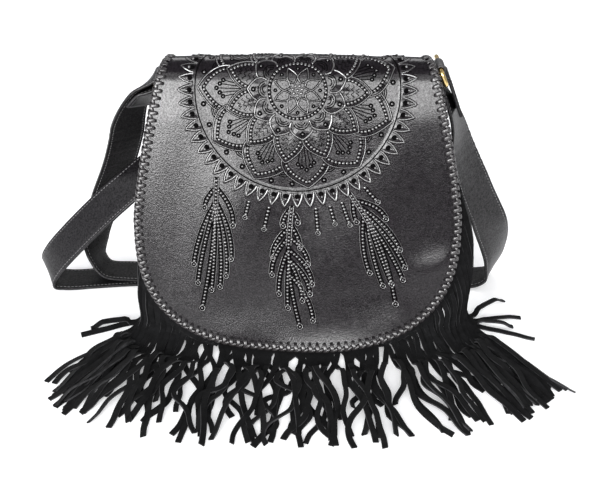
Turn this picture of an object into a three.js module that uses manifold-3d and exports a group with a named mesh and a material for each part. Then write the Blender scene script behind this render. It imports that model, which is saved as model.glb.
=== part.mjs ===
// Leather sling bag that stands on its base, with a laced flap, a suede fringe and a shoulder strap.
// Millimetres, +Z up, the flap faces -Y. The origin is on the floor, under the middle of the base.
import * as THREE from "three";
import { mergeVertices } from "three/addons/utils/BufferGeometryUtils.js";
import Module from "manifold-3d";

// Driving dimensions of the walls
const WALL = 2.4; // leather of the flap, the panels and the gusset
const GAP = 0.3; // between pieces that touch
const FRONT_LEAN = THREE.MathUtils.degToRad(14.5); // the front leans back
const BACK_LEAN = THREE.MathUtils.degToRad(4.5); // the back leans back a little too
const BASE_FRONT = -40; // front edge of the base
const BASE_BACK = 36; // back edge of the base

// Outline of the body: a superellipse below its widest level, a taper above
const CORNER_POWER = 2.8; // roundness of the lower corners of the body and of the flap
const BODY_HALF_WIDTH = 129;
const BODY_TOP_HALF_WIDTH = 114;
const BODY_WIDEST = 102; // height of the widest level
const BASE_SINK = 3; // the floor flattens this much of the superellipse's bottom
const GUSSET_TOP = 212;
const FRONT_TOP = 200;
const BACK_TOP = 217;

// Flap
const FLAP_HALF_WIDTH = 137.5;
const FLAP_TOP_HALF_WIDTH = 108;
const FLAP_WIDEST = 113; // length along the flap from its lower edge to its widest level
const FLAP_TAPER_POWER = 1.28;
const FLAP_LOWER_EDGE = 5.2; // height of the lower edge above the floor
const FLAP_STANDOFF = 6; // from the front panel's face to the middle of the flap's wall
const FLAP_TAIL = 30; // straight tail that is sewn to the back panel
const FOLD_RADIUS = 21.4; // middle of the wall, over the top
const EDGE_SWEEP = 10; // the side edges curve back this much from the crowned middle
const FOLD_SWEEP_SHARE = 0.3; // share of that curve that is left at the fold and on the back
const SWEEP_FADES_FROM = 110; // height where the side curve starts to fade
const SWEEP_FADES_TO = 227; // height where only that share of it is left

// Lacing round the flap's edge
const LACE_REACH = 5.2; // how far the lace lies over the face
const LACE_THICKNESS = 1.1;
const LACE_OVERHANG = 1.4;

// Fringe
const FRINGE_COUNT = 38;
const FRINGE_TOP = 158; // height of the highest strip on each side seam
const FRINGE_BAND = 8; // width of the head band
const FRINGE_THICKNESS = 1.4;
const STRIP_WIDTH = 8;

// Rings, tabs and strap
const RING_WIRE = 2; // radius
const RING_INSIDE = 37; // clear width for the strap
const RING_SIDES = 6;
const RING_MIDDLE = 41; // distance of the ring's middle behind the origin
const TAB_WIDTH = 20;
const TAB_MIDDLE = 34; // the tabs sit nearer the front, clear of the back panel
const TAB_WALL = 2;
const TAB_FOOT = 182; // height of the tab's lower end
const STRAP_WIDTH = 35;
const STRAP_THICKNESS = 3;

// Each ring's two bars, and the fold and the sewn tip of the strap's end that laps round its outer bar
const RINGS = {
  left: { side: -1, inner: [112, 232], outer: [118, 220.5], fold: [132, 211], tip: [143, 194] },
  right: { side: 1, inner: [117.4, 235], outer: [122.5, 222.5], fold: [131.2, 210], tip: [137.2, 194] },
};

// Colours of the leather, the suede and the brass
const BLACK_LEATHER = new THREE.MeshStandardMaterial({ color: 0x2b2729, roughness: 0.38 });
const STRAP_LEATHER = new THREE.MeshStandardMaterial({ color: 0x2a282b, roughness: 0.5 });
const LACE_LEATHER = new THREE.MeshStandardMaterial({ color: 0x242123, roughness: 0.42 });
const SUEDE = new THREE.MeshStandardMaterial({ color: 0x1b1b1d, roughness: 0.9 });
const BRASS = new THREE.MeshStandardMaterial({ color: 0xc9a94e, roughness: 0.25, metalness: 1 });

const wasm = await Module();
wasm.setup();

const { lerp, smoothstep } = THREE.MathUtils;
const vec = (x, y, z) => new THREE.Vector3(x, y, z);
const steps = (count) => Array.from({ length: count + 1 }, (_, i) => i / count);

// A closed surface from points and triangles: shared points are merged, collapsed triangles
// are dropped, and all faces are turned outwards.
function closedGeometry(points, triangles) {
  const loose = new THREE.BufferGeometry().setFromPoints(points).setIndex(triangles.flat());
  const merged = mergeVertices(loose, 1e-3);
  const position = merged.getAttribute("position");
  const corner = (i) => vec().fromBufferAttribute(position, i);
  const kept = [];
  let volume = 0;
  for (let i = 0; i < merged.index.count; i += 3) {
    const [a, b, c] = [0, 1, 2].map((k) => merged.index.getX(i + k));
    if (a === b || b === c || c === a) continue;
    volume += corner(a).dot(corner(b).cross(corner(c)));
    kept.push([a, b, c]);
  }
  merged.setIndex((volume < 0 ? kept.map(([a, b, c]) => [a, c, b]) : kept).flat());
  merged.computeVertexNormals();
  return merged;
}

// A leather wall between an outer and an inner grid of points, rows by columns.
function wallGeometry(outer, inner) {
  const rows = outer.length;
  const columns = outer[0].length;
  const points = [...outer.flat(), ...inner.flat()];
  const at = (side, i, j) => side * rows * columns + i * columns + j;
  const triangles = [];
  const quad = (a, b, c, d) => triangles.push([a, b, c], [a, c, d]);
  for (let i = 0; i + 1 < rows; i++) {
    for (let j = 0; j + 1 < columns; j++) {
      quad(at(0, i, j), at(0, i, j + 1), at(0, i + 1, j + 1), at(0, i + 1, j));
      quad(at(1, i, j), at(1, i + 1, j), at(1, i + 1, j + 1), at(1, i, j + 1));
    }
  }
  const rim = (p, q) => quad(at(0, ...q), at(0, ...p), at(1, ...p), at(1, ...q));
  for (let j = 0; j + 1 < columns; j++) {
    rim([0, j], [0, j + 1]);
    rim([rows - 1, j + 1], [rows - 1, j]);
  }
  for (let i = 0; i + 1 < rows; i++) {
    rim([i, columns - 1], [i + 1, columns - 1]);
    rim([i + 1, 0], [i, 0]);
  }
  return closedGeometry(points, triangles);
}

// A solid through sections of equal point counts. capFaces triangulates the two end sections;
// without it the last section joins the first.
function loftGeometry(sections, capFaces) {
  const size = sections[0].length;
  const triangles = [];
  const spans = capFaces ? sections.length - 1 : sections.length;
  for (let i = 0; i < spans; i++) {
    const next = (i + 1) % sections.length;
    for (let j = 0; j < size; j++) {
      const k = (j + 1) % size;
      triangles.push([i * size + j, i * size + k, next * size + k]);
      triangles.push([i * size + j, next * size + k, next * size + j]);
    }
  }
  const last = (sections.length - 1) * size;
  for (const [a, b, c] of capFaces ?? []) {
    triangles.push([a, c, b], [last + a, last + b, last + c]);
  }
  return closedGeometry(sections.flat(), triangles);
}

const RECTANGLE_CAP = [[0, 1, 2], [0, 2, 3]];

// The four corners of a flat strip's section.
function stripSection(centre, across, through, width, thickness) {
  const corners = [[-1, -1], [1, -1], [1, 1], [-1, 1]];
  return corners.map(([a, t]) => centre.clone()
    .addScaledVector(across, (a * width) / 2)
    .addScaledVector(through, (t * thickness) / 2));
}

// A flat strip along a route. Each row has a centre and the wanted direction across the strip.
function ribbonGeometry(rows, width, thickness) {
  const sections = rows.map((row, i) => {
    const before = rows[Math.max(0, i - 1)].centre;
    const after = rows[Math.min(rows.length - 1, i + 1)].centre;
    const arriving = row.centre.clone().sub(before).normalize();
    const along = after.clone().sub(row.centre).normalize().add(arriving).normalize();
    const across = row.across.clone().addScaledVector(along, -row.across.dot(along)).normalize();
    const through = along.clone().cross(across);
    return stripSection(row.centre, across, through, width, thickness);
  });
  return loftGeometry(sections, RECTANGLE_CAP);
}

// More rows on a smooth route through the given rows
function smoothRows(rows, spans) {
  const route = new THREE.CatmullRomCurve3(rows.map((r) => r.centre), false, "centripetal");
  return steps(spans).map((t) => {
    const place = t * (rows.length - 1);
    const i = Math.min(Math.floor(place), rows.length - 2);
    const across = rows[i].across.clone().lerp(rows[i + 1].across, place - i);
    return { centre: route.getPoint(t), across };
  });
}

function toSolid(geometry) {
  const triVerts = new Uint32Array(geometry.index.array);
  const vertProperties = geometry.getAttribute("position").array;
  return new wasm.Manifold(new wasm.Mesh({ numProp: 3, vertProperties, triVerts }));
}

// One solid from several that overlap. Pockets that they shut in are filled.
function joined(geometries) {
  const sum = (solids) => solids.reduce((a, b) => a.add(b));
  const shells = sum(geometries.map(toSolid)).decompose();
  const mesh = sum(shells.filter((shell) => shell.volume() > 0)).getMesh();
  const position = new THREE.BufferAttribute(mesh.vertProperties, 3);
  const geometry = new THREE.BufferGeometry().setAttribute("position", position);
  return geometry.setIndex(new THREE.BufferAttribute(mesh.triVerts, 1));
}

const bag = new THREE.Group();

function addPiece(name, geometry, material) {
  const mesh = new THREE.Mesh(geometry, material);
  mesh.name = name;
  bag.add(mesh);
}

// How far the walls curve back at a distance x from the middle, and how that fades with height
const sweep = (x) => EDGE_SWEEP * (x / FLAP_HALF_WIDTH) ** 2;
const sweepShare = (z) => lerp(1, FOLD_SWEEP_SHARE, smoothstep(z, SWEEP_FADES_FROM, SWEEP_FADES_TO));

// Outer faces of the front and back panels, and their walls measured along Y
const frontWall = WALL / Math.cos(FRONT_LEAN);
const backWall = WALL / Math.cos(BACK_LEAN);
const frontFace = (x, z) =>
  BASE_FRONT + z * Math.tan(FRONT_LEAN) + (sweep(x) * sweepShare(z)) / Math.cos(FRONT_LEAN);
const backFace = (x, z) =>
  BASE_BACK + z * Math.tan(BACK_LEAN) - (sweep(x) * FOLD_SWEEP_SHARE) / Math.cos(BACK_LEAN);

// Length from the lowest point to a rounded lower edge at a distance x from the middle
function lowerEdge(x, halfWidth, widest) {
  const share = Math.min(1, Math.abs(x) / halfWidth);
  return widest * (1 - (1 - share ** CORNER_POWER) ** (1 / CORNER_POWER));
}
const bodyLowerEdge = (x) => Math.max(0, lowerEdge(x, BODY_HALF_WIDTH, BODY_WIDEST + BASE_SINK) - BASE_SINK);
function bodyHalfWidth(z) {
  const rise = Math.max(0, z - BODY_WIDEST) / (GUSSET_TOP - BODY_WIDEST);
  return lerp(BODY_HALF_WIDTH, BODY_TOP_HALF_WIDTH, rise ** FLAP_TAPER_POWER);
}

// Points on a panel with the body's outline, rows from the lower edge up to its top
const PANEL_LOWER_ROWS = 4;
const PANEL_UPPER_ROWS = 6;
const PANEL_COLUMNS = 20;
const panelColumns = steps(PANEL_COLUMNS).map((t) => Math.sin((t - 0.5) * Math.PI));
function panelGrid(top, face) {
  const lower = steps(PANEL_LOWER_ROWS).map((t) => panelColumns.map((u) => {
    const x = u * BODY_HALF_WIDTH;
    return vec(x, 0, lerp(bodyLowerEdge(x), BODY_WIDEST, t));
  }));
  const upper = steps(PANEL_UPPER_ROWS).slice(1).map((t) => panelColumns.map((u) => {
    const z = lerp(BODY_WIDEST, top, t);
    return vec(u * bodyHalfWidth(z), 0, z);
  }));
  return [...lower, ...upper].map((row) => row.map((p) => vec(p.x, face(p.x, p.z), p.z)));
}
const addFrontPanel = () => addPiece("front_panel", wallGeometry(
  panelGrid(FRONT_TOP, frontFace),
  panelGrid(FRONT_TOP, (x, z) => frontFace(x, z) + frontWall),
), BLACK_LEATHER);
const addBackPanel = () => addPiece("back_panel", wallGeometry(
  panelGrid(BACK_TOP, backFace),
  panelGrid(BACK_TOP, (x, z) => backFace(x, z) - backWall),
), BLACK_LEATHER);

// The body's outline on its right half, from the middle of the base up to a top height:
// points with the direction that points out of the body.
function bodyOutline(top, cornerSteps, sideSteps) {
  const corner = steps(cornerSteps).map((t) => {
    const x = BODY_HALF_WIDTH * Math.sin((t * Math.PI) / 2) ** (2 / CORNER_POWER);
    return { x, z: bodyLowerEdge(x) };
  });
  const side = steps(sideSteps).slice(1).map((t) => {
    const z = lerp(BODY_WIDEST, top, t);
    return { x: bodyHalfWidth(z), z };
  });
  const points = [...corner, ...side];
  return points.map((p, i) => {
    const before = points[Math.max(0, i - 1)];
    const after = points[Math.min(points.length - 1, i + 1)];
    const out = new THREE.Vector2(after.z - before.z, before.x - after.x).normalize();
    return p.z === 0 ? { ...p, outX: 0, outZ: -1 } : { ...p, outX: out.x, outZ: out.y };
  });
}
const bothSides = (half) => [
  ...half.slice(1).reverse().map((p) => ({ ...p, x: -p.x, outX: -p.outX })),
  ...half,
];

function addGusset() {
  const outline = bothSides(bodyOutline(GUSSET_TOP, 9, 5));
  const depths = [0, 0.5, 1];
  const layer = (inset) => outline.map((p) => {
    const x = p.x - p.outX * inset;
    const z = p.z - p.outZ * inset;
    const front = frontFace(x, z) + frontWall + GAP;
    const back = backFace(x, z) - backWall - GAP;
    return depths.map((d) => vec(x, lerp(front, back, d), z));
  });
  addPiece("gusset", wallGeometry(layer(0), layer(WALL)), BLACK_LEATHER);
}

// Side profile of the flap: up the front, round the fold and down the tail. It is tangent to
// the front line and to the back line, which are given by their outward normals.
const frontNormal = { y: -Math.cos(FRONT_LEAN), z: Math.sin(FRONT_LEAN) };
const backNormal = { y: Math.cos(BACK_LEAN), z: -Math.sin(BACK_LEAN) };
const frontLine = -BASE_FRONT * Math.cos(FRONT_LEAN) + FLAP_STANDOFF;
const backLine = BASE_BACK * Math.cos(BACK_LEAN) + GAP + WALL / 2;
function foldCentre() {
  const a = frontLine - FOLD_RADIUS;
  const b = backLine - FOLD_RADIUS;
  const determinant = frontNormal.y * backNormal.z - frontNormal.z * backNormal.y;
  const y = (a * backNormal.z - b * frontNormal.z) / determinant;
  const z = (frontNormal.y * b - backNormal.y * a) / determinant;
  return { y, z };
}
const FOLD = foldCentre();
const foldStart = FOLD.z + FOLD_RADIUS * frontNormal.z;
const flapFrontLength = (foldStart - FLAP_LOWER_EDGE) / Math.cos(FRONT_LEAN);
const foldTurn = Math.PI + BACK_LEAN - FRONT_LEAN;
const foldLength = FOLD_RADIUS * foldTurn;
const flapLength = flapFrontLength + foldLength + FLAP_TAIL;

// A point of the profile at a length along the flap, with its outward normal
function flapProfile(length) {
  if (length <= flapFrontLength) {
    const left = flapFrontLength - length;
    const y = FOLD.y + FOLD_RADIUS * frontNormal.y - left * Math.sin(FRONT_LEAN);
    return { y, z: foldStart - left * Math.cos(FRONT_LEAN), normal: frontNormal };
  }
  const turned = Math.min(foldTurn, (length - flapFrontLength) / FOLD_RADIUS);
  const angle = FRONT_LEAN + turned;
  const normal = { y: -Math.cos(angle), z: Math.sin(angle) };
  const tail = Math.max(0, length - flapFrontLength - foldLength);
  const y = FOLD.y + FOLD_RADIUS * normal.y - tail * Math.sin(BACK_LEAN);
  return { y, z: FOLD.z + FOLD_RADIUS * normal.z - tail * Math.cos(BACK_LEAN), normal };
}

// A point over the flap: x across, length along it, lift from the middle of its wall
function flapPoint(x, length, lift) {
  const p = flapProfile(length);
  const share = length <= flapFrontLength ? sweepShare(p.z) : FOLD_SWEEP_SHARE;
  const out = lift - sweep(x) * share;
  return vec(x, p.y + p.normal.y * out, p.z + p.normal.z * out);
}
function flapHalfWidth(length) {
  const rise = (length - FLAP_WIDEST) / (flapFrontLength + foldLength / 2 - FLAP_WIDEST);
  const share = THREE.MathUtils.clamp(rise, 0, 1) ** FLAP_TAPER_POWER;
  return lerp(FLAP_HALF_WIDTH, FLAP_TOP_HALF_WIDTH, share);
}
const flapLowerEdge = (x) => lowerEdge(x, FLAP_HALF_WIDTH, FLAP_WIDEST);

// Rows and columns of the flap, which its lacing follows
const FLAP_LOWER_ROWS = 6;
const FLAP_FRONT_ROWS = 5;
const FLAP_FOLD_ROWS = 9;
const FLAP_COLUMNS = 22;
const flapColumns = steps(FLAP_COLUMNS).map((t) => Math.sin((t - 0.5) * Math.PI));
const flapRows = [
  ...steps(FLAP_FRONT_ROWS).slice(1).map((t) => lerp(FLAP_WIDEST, flapFrontLength, t)),
  ...steps(FLAP_FOLD_ROWS).slice(1).map((t) => flapFrontLength + t * foldLength),
];
function addFlap() {
  const layer = (lift) => [
    ...steps(FLAP_LOWER_ROWS).map((t) => flapColumns.map((u) => {
      const x = u * FLAP_HALF_WIDTH;
      return flapPoint(x, lerp(flapLowerEdge(x), FLAP_WIDEST, t), lift);
    })),
    ...[...flapRows, flapLength].map((length) =>
      flapColumns.map((u) => flapPoint(u * flapHalfWidth(length), length, lift))),
  ];
  addPiece("flap", wallGeometry(layer(WALL / 2), layer(-WALL / 2)), BLACK_LEATHER);
}

// The flap's edge from one end of the fold round the lower edge to the other:
// places (x, length) with the direction that points out of the leather.
function flapOutline() {
  const corner = flapColumns.slice(FLAP_COLUMNS / 2).map((u) => {
    const x = u * FLAP_HALF_WIDTH;
    return { x, length: flapLowerEdge(x) };
  });
  const side = flapRows.map((length) => ({ x: flapHalfWidth(length), length }));
  const half = [...corner, ...side];
  const points = [...half.slice(1).reverse().map((p) => ({ ...p, x: -p.x })), ...half];
  return points.map((p, i) => {
    const before = points[Math.max(0, i - 1)];
    const after = points[Math.min(points.length - 1, i + 1)];
    const out = new THREE.Vector2(after.length - before.length, before.x - after.x).normalize();
    return { ...p, outX: out.x, outLength: out.y };
  });
}

// The lace as a channel that grips the flap's edge
function addLacing() {
  const near = WALL / 2 + GAP;
  const far = near + LACE_THICKNESS;
  const channel = [
    [GAP, near], [GAP, -near], [-LACE_REACH, -near], [-LACE_REACH, -far],
    [LACE_OVERHANG, -far], [LACE_OVERHANG, far], [-LACE_REACH, far], [-LACE_REACH, near],
  ].map(([out, lift]) => new THREE.Vector2(out, lift));
  const sections = flapOutline().map((p) => channel.map((c) =>
    flapPoint(p.x + c.x * p.outX, p.length + c.x * p.outLength, c.y)));
  const caps = THREE.ShapeUtils.triangulateShape(channel, []);
  addPiece("flap_lacing", loftGeometry(sections, caps), LACE_LEATHER);
}

// A repeatable spread of numbers from -1 to 1 for strip i, different for each use
const spread = (i, use) => {
  const wave = Math.sin(i * 12.9898 + use * 78.233) * 43758.5453;
  return 2 * (wave - Math.floor(wave)) - 1;
};

// How the strips fall, by their share of the seam from the base's middle (0) to the top (1):
// the heading on the floor in degrees from straight ahead, the drift outwards while they hang
// on each side, and the strip's length.
const FRINGE_FALL = [
  { share: 0.0, heading: 0, driftLeft: 0, driftRight: 0, length: 116 },
  { share: 0.25, heading: 6, driftLeft: 0, driftRight: 0, length: 120 },
  { share: 0.4, heading: 15, driftLeft: 2, driftRight: 2, length: 140 },
  { share: 0.5, heading: 23, driftLeft: 5, driftRight: 5, length: 160 },
  { share: 0.62, heading: 30, driftLeft: 10, driftRight: 10, length: 174 },
  { share: 0.8, heading: 38, driftLeft: 16, driftRight: 17, length: 188 },
  { share: 1.0, heading: 54, driftLeft: 20, driftRight: 24, length: 212 },
];
function fallAt(share, side) {
  const i = Math.max(1, FRINGE_FALL.findIndex((row) => row.share >= share));
  const [low, high] = [FRINGE_FALL[i - 1], FRINGE_FALL[i]];
  const t = (share - low.share) / (high.share - low.share);
  const between = (column) => lerp(low[column], high[column], t);
  return {
    heading: THREE.MathUtils.degToRad(between("heading")),
    drift: between(side < 0 ? "driftLeft" : "driftRight"),
    length: between("length"),
  };
}

// The route of one strip: out of the seam, down to the floor, then along the floor in waves.
// place has the seam's point, its direction and the direction out of the body.
const HANGS_ABOVE = 6; // a strip that is rooted higher than this hangs before it lies down
const LONG_ABOVE = 40; // a strip that is rooted higher than this has one more row while it hangs
const FLOOR_BEND = 12; // height where a hanging strip turns to lie down
const HEADING_SPREAD = 0.25; // radians to either side
const LENGTH_SPREAD = 9;
const SHORTEST_RUN = 24; // on the floor
const FLOOR_LAYERS = [1.2, 2.8, 4.4]; // heights at which crossing strips lie
function stripRows(place, share, index) {
  const side = Math.sign(place.point.x);
  const fall = fallAt(share, side);
  const heading = side * fall.heading + spread(index, 1) * HEADING_SPREAD;
  const forward = vec(Math.sin(heading), -Math.cos(heading), 0);
  const across = vec(Math.cos(heading), Math.sin(heading), 0);
  const root = place.point.clone().addScaledVector(place.out, -2);
  root.z = Math.max(root.z, FLOOR_LAYERS[0] + (STRIP_WIDTH / 2) * Math.abs(place.along.z));
  root.y -= GAP + FRINGE_THICKNESS / 2;
  const rows = [{ centre: root, across: place.along }];
  const hangs = root.z > HANGS_ABOVE;
  const foot = vec(root.x + side * fall.drift, root.y - 4, 0);
  if (hangs) {
    foot.x += side * 4;
    foot.y += 4.5;
    const turned = vec(1, 0.2 * spread(index, 4), 0);
    const bend = Math.min(FLOOR_BEND, root.z / 2);
    const outside = root.clone().addScaledVector(place.out, 6);
    outside.y -= 2 * GAP;
    outside.z = Math.max(outside.z, bend + 1);
    rows.push({ centre: outside, across: place.along });
    if (root.z > LONG_ABOVE) rows.push({ centre: vec(foot.x, foot.y, root.z * 0.6), across: turned });
    rows.push({ centre: vec(foot.x, foot.y, bend), across: turned });
  } else {
    rows.push({ centre: root.clone().setY(root.y - 3), across: place.along });
  }
  const start = hangs ? 8 : 5;
  const run = Math.max(start + SHORTEST_RUN, fall.length + LENGTH_SPREAD * spread(index, 2) - root.z);
  const layer = FLOOR_LAYERS[index % FLOOR_LAYERS.length];
  const wave = 4 + 3 * spread(index, 5);
  const phase = Math.PI * spread(index, 6);
  for (const t of [0.1, 0.4, 0.7, 1]) {
    const aside = wave * t * Math.sin(phase + 5.5 * t);
    const centre = foot.clone().addScaledVector(forward, lerp(start, run, t)).addScaledVector(across, aside);
    const lying = t < 0.2 || t === 1 ? FLOOR_LAYERS[0] : layer;
    rows.push({ centre: centre.setZ(lying), across });
  }
  return rows;
}

function addFringe() {
  const outline = bothSides(bodyOutline(FRINGE_TOP, 14, 5));
  const lifts = [GAP, GAP + FRINGE_THICKNESS];
  const bandCorners = [[0, lifts[0]], [0, lifts[1]], [FRINGE_BAND, lifts[1]], [FRINGE_BAND, lifts[0]]];
  const band = loftGeometry(outline.map((p) => bandCorners.map(([inset, lift]) => {
    const x = p.x - p.outX * inset;
    const z = p.z - p.outZ * inset;
    return vec(x, frontFace(x, z) - lift, z);
  })), RECTANGLE_CAP);
  const onFace = outline.map((p) => vec(p.x, frontFace(p.x, p.z), p.z));
  const seam = new THREE.CatmullRomCurve3(onFace, false, "centripetal");
  const strips = steps(FRINGE_COUNT - 1).map((t, index) => {
    const sewn = lerp(0.02, 0.98, t);
    const point = seam.getPointAt(sewn);
    const along = seam.getTangentAt(sewn);
    const out = vec(along.z, 0, -along.x).normalize();
    out.y = frontFace(point.x + out.x, point.z + out.z) - point.y;
    const place = { point, along, out };
    return ribbonGeometry(stripRows(place, Math.abs(2 * t - 1), index), STRIP_WIDTH, FRINGE_THICKNESS);
  });
  addPiece("fringe", joined([band, ...strips]), SUEDE);
}

// A brass ring as a rounded rectangle that tilts from its inner bar down to its outer bar
function addRing(name, ring) {
  const inner = vec(ring.side * ring.inner[0], RING_MIDDLE, ring.inner[1]);
  const outer = vec(ring.side * ring.outer[0], RING_MIDDLE, ring.outer[1]);
  const down = outer.clone().sub(inner);
  const halfDepth = down.length() / 2;
  const halfWidth = RING_INSIDE / 2 + RING_WIRE;
  const centre = inner.clone().lerp(outer, 0.5);
  down.normalize();
  const width = vec(0, 1, 0);
  const normal = down.clone().cross(width);
  const cornerRadius = 4;
  const sections = [];
  for (const [a, b, from] of [[1, 1, 0], [-1, 1, 1], [-1, -1, 2], [1, -1, 3]]) {
    for (const t of [0, 0.5, 1]) {
      const angle = ((from + t) * Math.PI) / 2;
      const out = down.clone().multiplyScalar(Math.cos(angle)).addScaledVector(width, Math.sin(angle));
      const place = centre.clone()
        .addScaledVector(down, a * (halfDepth - cornerRadius))
        .addScaledVector(width, b * (halfWidth - cornerRadius))
        .addScaledVector(out, cornerRadius);
      sections.push(steps(RING_SIDES).slice(1).map((turn) => place.clone()
        .addScaledVector(out, RING_WIRE * Math.cos(turn * 2 * Math.PI))
        .addScaledVector(normal, RING_WIRE * Math.sin(turn * 2 * Math.PI))));
    }
  }
  addPiece(name, loftGeometry(sections), BRASS);
}

// A leather tab: up the inside of the gusset, round the ring's inner bar and back down
function addTab(name, ring) {
  const [barX, barZ] = ring.inner;
  const reach = RING_WIRE + GAP + TAB_WALL / 2;
  const legGap = TAB_WALL + GAP;
  const pinchDrop = 2.6 * reach; // from the bar down to where the legs come together
  const inset = WALL + 2 * GAP + TAB_WALL / 2 + legGap;
  const heights = [TAB_FOOT, lerp(TAB_FOOT, GUSSET_TOP, 0.5), GUSSET_TOP];
  const leg = (shift) => [
    ...heights.map((z) => [bodyHalfWidth(z) - inset + shift, z]),
    [barX - reach + shift, barZ - pinchDrop],
  ];
  const line = [
    ...leg(0),
    ...[180, 150, 120, 90, 60, 30, 0].map((angle) => {
      const turn = THREE.MathUtils.degToRad(angle);
      return [barX + reach * Math.cos(turn), barZ + reach * Math.sin(turn)];
    }),
    ...leg(legGap).reverse(),
  ];
  const rows = line.map(([x, z]) => ({ centre: vec(ring.side * x, TAB_MIDDLE, z), across: vec(0, 1, 0) }));
  addPiece(name, ribbonGeometry(rows, TAB_WIDTH, TAB_WALL), BLACK_LEATHER);
}

// The strap's route from the right ring, down to the floor, flat behind the bag, up in a bend at the
// left, over in an arch behind the bag, back to the left along the floor, and up to the left ring.
// Each row has the middle of the strap and the direction from its front edge to its back edge.
const STRAP_ROUTE = [
  { x: 135.5, y: 38, z: 189, across: [0.15, 1, 0] },
  { x: 148, y: 43, z: 155, across: [0.55, 0.83, 0.05] },
  { x: 161, y: 50, z: 117, across: [0.83, 0.55, 0.1] },
  { x: 176, y: 57.5, z: 77, across: [0.88, 0.45, -0.12] },
  { x: 183, y: 65, z: 58, across: [0.81, 0.56, -0.16] },
  { x: 187.5, y: 72, z: 40, across: [0.66, 0.69, -0.25] },
  { x: 188, y: 76, z: 22, across: [0.5, 0.83, -0.2] },
  { x: 184, y: 77, z: 9, across: [0.3, 0.93, -0.1] },
  { x: 172, y: 77, z: 3.2, across: [0.1, 1, 0] },
  { x: 156, y: 77.5, z: 1.9, across: [0, 1, 0] },
  { x: 110, y: 79, z: 1.8, across: [0, 1, 0] },
  { x: -20, y: 79, z: 1.8, across: [0, 1, 0] },
  { x: -150, y: 78, z: 1.8, across: [0, 1, 0] },
  { x: -200, y: 72, z: 1.9, across: [0, 1, 0] },
  { x: -216, y: 69.5, z: 2, across: [-0.04, 1, 0] },
  { x: -228, y: 67.6, z: 3.6, across: [-0.15, 1, 0.02] },
  { x: -237, y: 65, z: 8, across: [-0.35, 0.92, 0.2] },
  { x: -239, y: 62, z: 18, across: [-0.48, 0.76, 0.4] },
  { x: -232, y: 59.5, z: 31, across: [-0.5, 0.73, 0.45] },
  { x: -209, y: 56.5, z: 58, across: [-0.52, 0.71, 0.45] },
  { x: -176, y: 54.5, z: 92, across: [-0.52, 0.71, 0.45] },
  { x: -157, y: 56, z: 109, across: [-0.5, 0.74, 0.44] },
  { x: -138, y: 62, z: 125, across: [-0.42, 0.82, 0.38] },
  { x: -112, y: 70, z: 140, across: [-0.25, 0.93, 0.25] },
  { x: -88, y: 76, z: 133, across: [-0.05, 1, 0.1] },
  { x: -74, y: 80, z: 105, across: [0, 1, 0] },
  { x: -70, y: 82, z: 65, across: [0, 1, 0] },
  { x: -75, y: 83, z: 30, across: [0, 1, 0] },
  { x: -92, y: 82.5, z: 9.5, across: [0, 1, 0] },
  { x: -120, y: 81, z: 5.4, across: [0, 1, 0] },
  { x: -165, y: 80, z: 5.4, across: [0, 1, 0] },
  { x: -188, y: 82, z: 7.5, across: [0, 1, -0.05] },
  { x: -196.5, y: 85.5, z: 18, across: [0.15, 1, -0.12] },
  { x: -197.5, y: 89, z: 33, across: [0.5, 0.85, -0.05] },
  { x: -190.5, y: 89, z: 60, across: [0.65, 0.75, -0.2] },
  { x: -180.5, y: 86, z: 88, across: [0.72, 0.65, -0.25] },
  { x: -165, y: 77, z: 125, across: [0.8, 0.6, -0.05] },
  { x: -154, y: 63, z: 157, across: [0.62, 0.78, -0.1] },
  { x: -147, y: 49, z: 178, across: [0.35, 0.9, -0.15] },
  { x: -140, y: 42, z: 192, across: [0.1, 1, -0.05] },
  { x: -129, y: 41, z: 208.6, across: [0, 1, 0] },
];

// Rows that lap the strap's end round a ring's outer bar, from the sewn tip to the strap's start
function strapLap(ring) {
  const [barX, barZ] = ring.outer;
  const reach = RING_WIRE + 1.5 * GAP + STRAP_THICKNESS / 2;
  const line = [
    ring.tip,
    ring.fold,
    ...[36, 74, 112, 150, 188, 226].map((angle) => {
      const turn = THREE.MathUtils.degToRad(angle);
      return [barX + reach * Math.cos(turn), barZ + reach * Math.sin(turn)];
    }),
  ];
  return line.map(([x, z]) => ({ centre: vec(ring.side * x, RING_MIDDLE, z), across: vec(0, 1, 0) }));
}
function addStrap() {
  const route = STRAP_ROUTE.map((r) => ({ centre: vec(r.x, r.y, r.z), across: vec(...r.across) }));
  const start = strapLap(RINGS.right);
  const end = strapLap(RINGS.left).reverse();
  const free = smoothRows([start.at(-1), ...route, end[0]], 100);
  const rows = [...start.slice(0, -1), ...free, ...end.slice(1)];
  addPiece("strap", ribbonGeometry(rows, STRAP_WIDTH, STRAP_THICKNESS), STRAP_LEATHER);
}

addFrontPanel();
addBackPanel();
addGusset();
addFlap();
addLacing();
addFringe();
for (const [name, ring] of Object.entries(RINGS)) {
  addTab(`tab_${name}`, ring);
  addRing(`ring_${name}`, ring);
}
addStrap();

export default bag;
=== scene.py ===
import math

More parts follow.
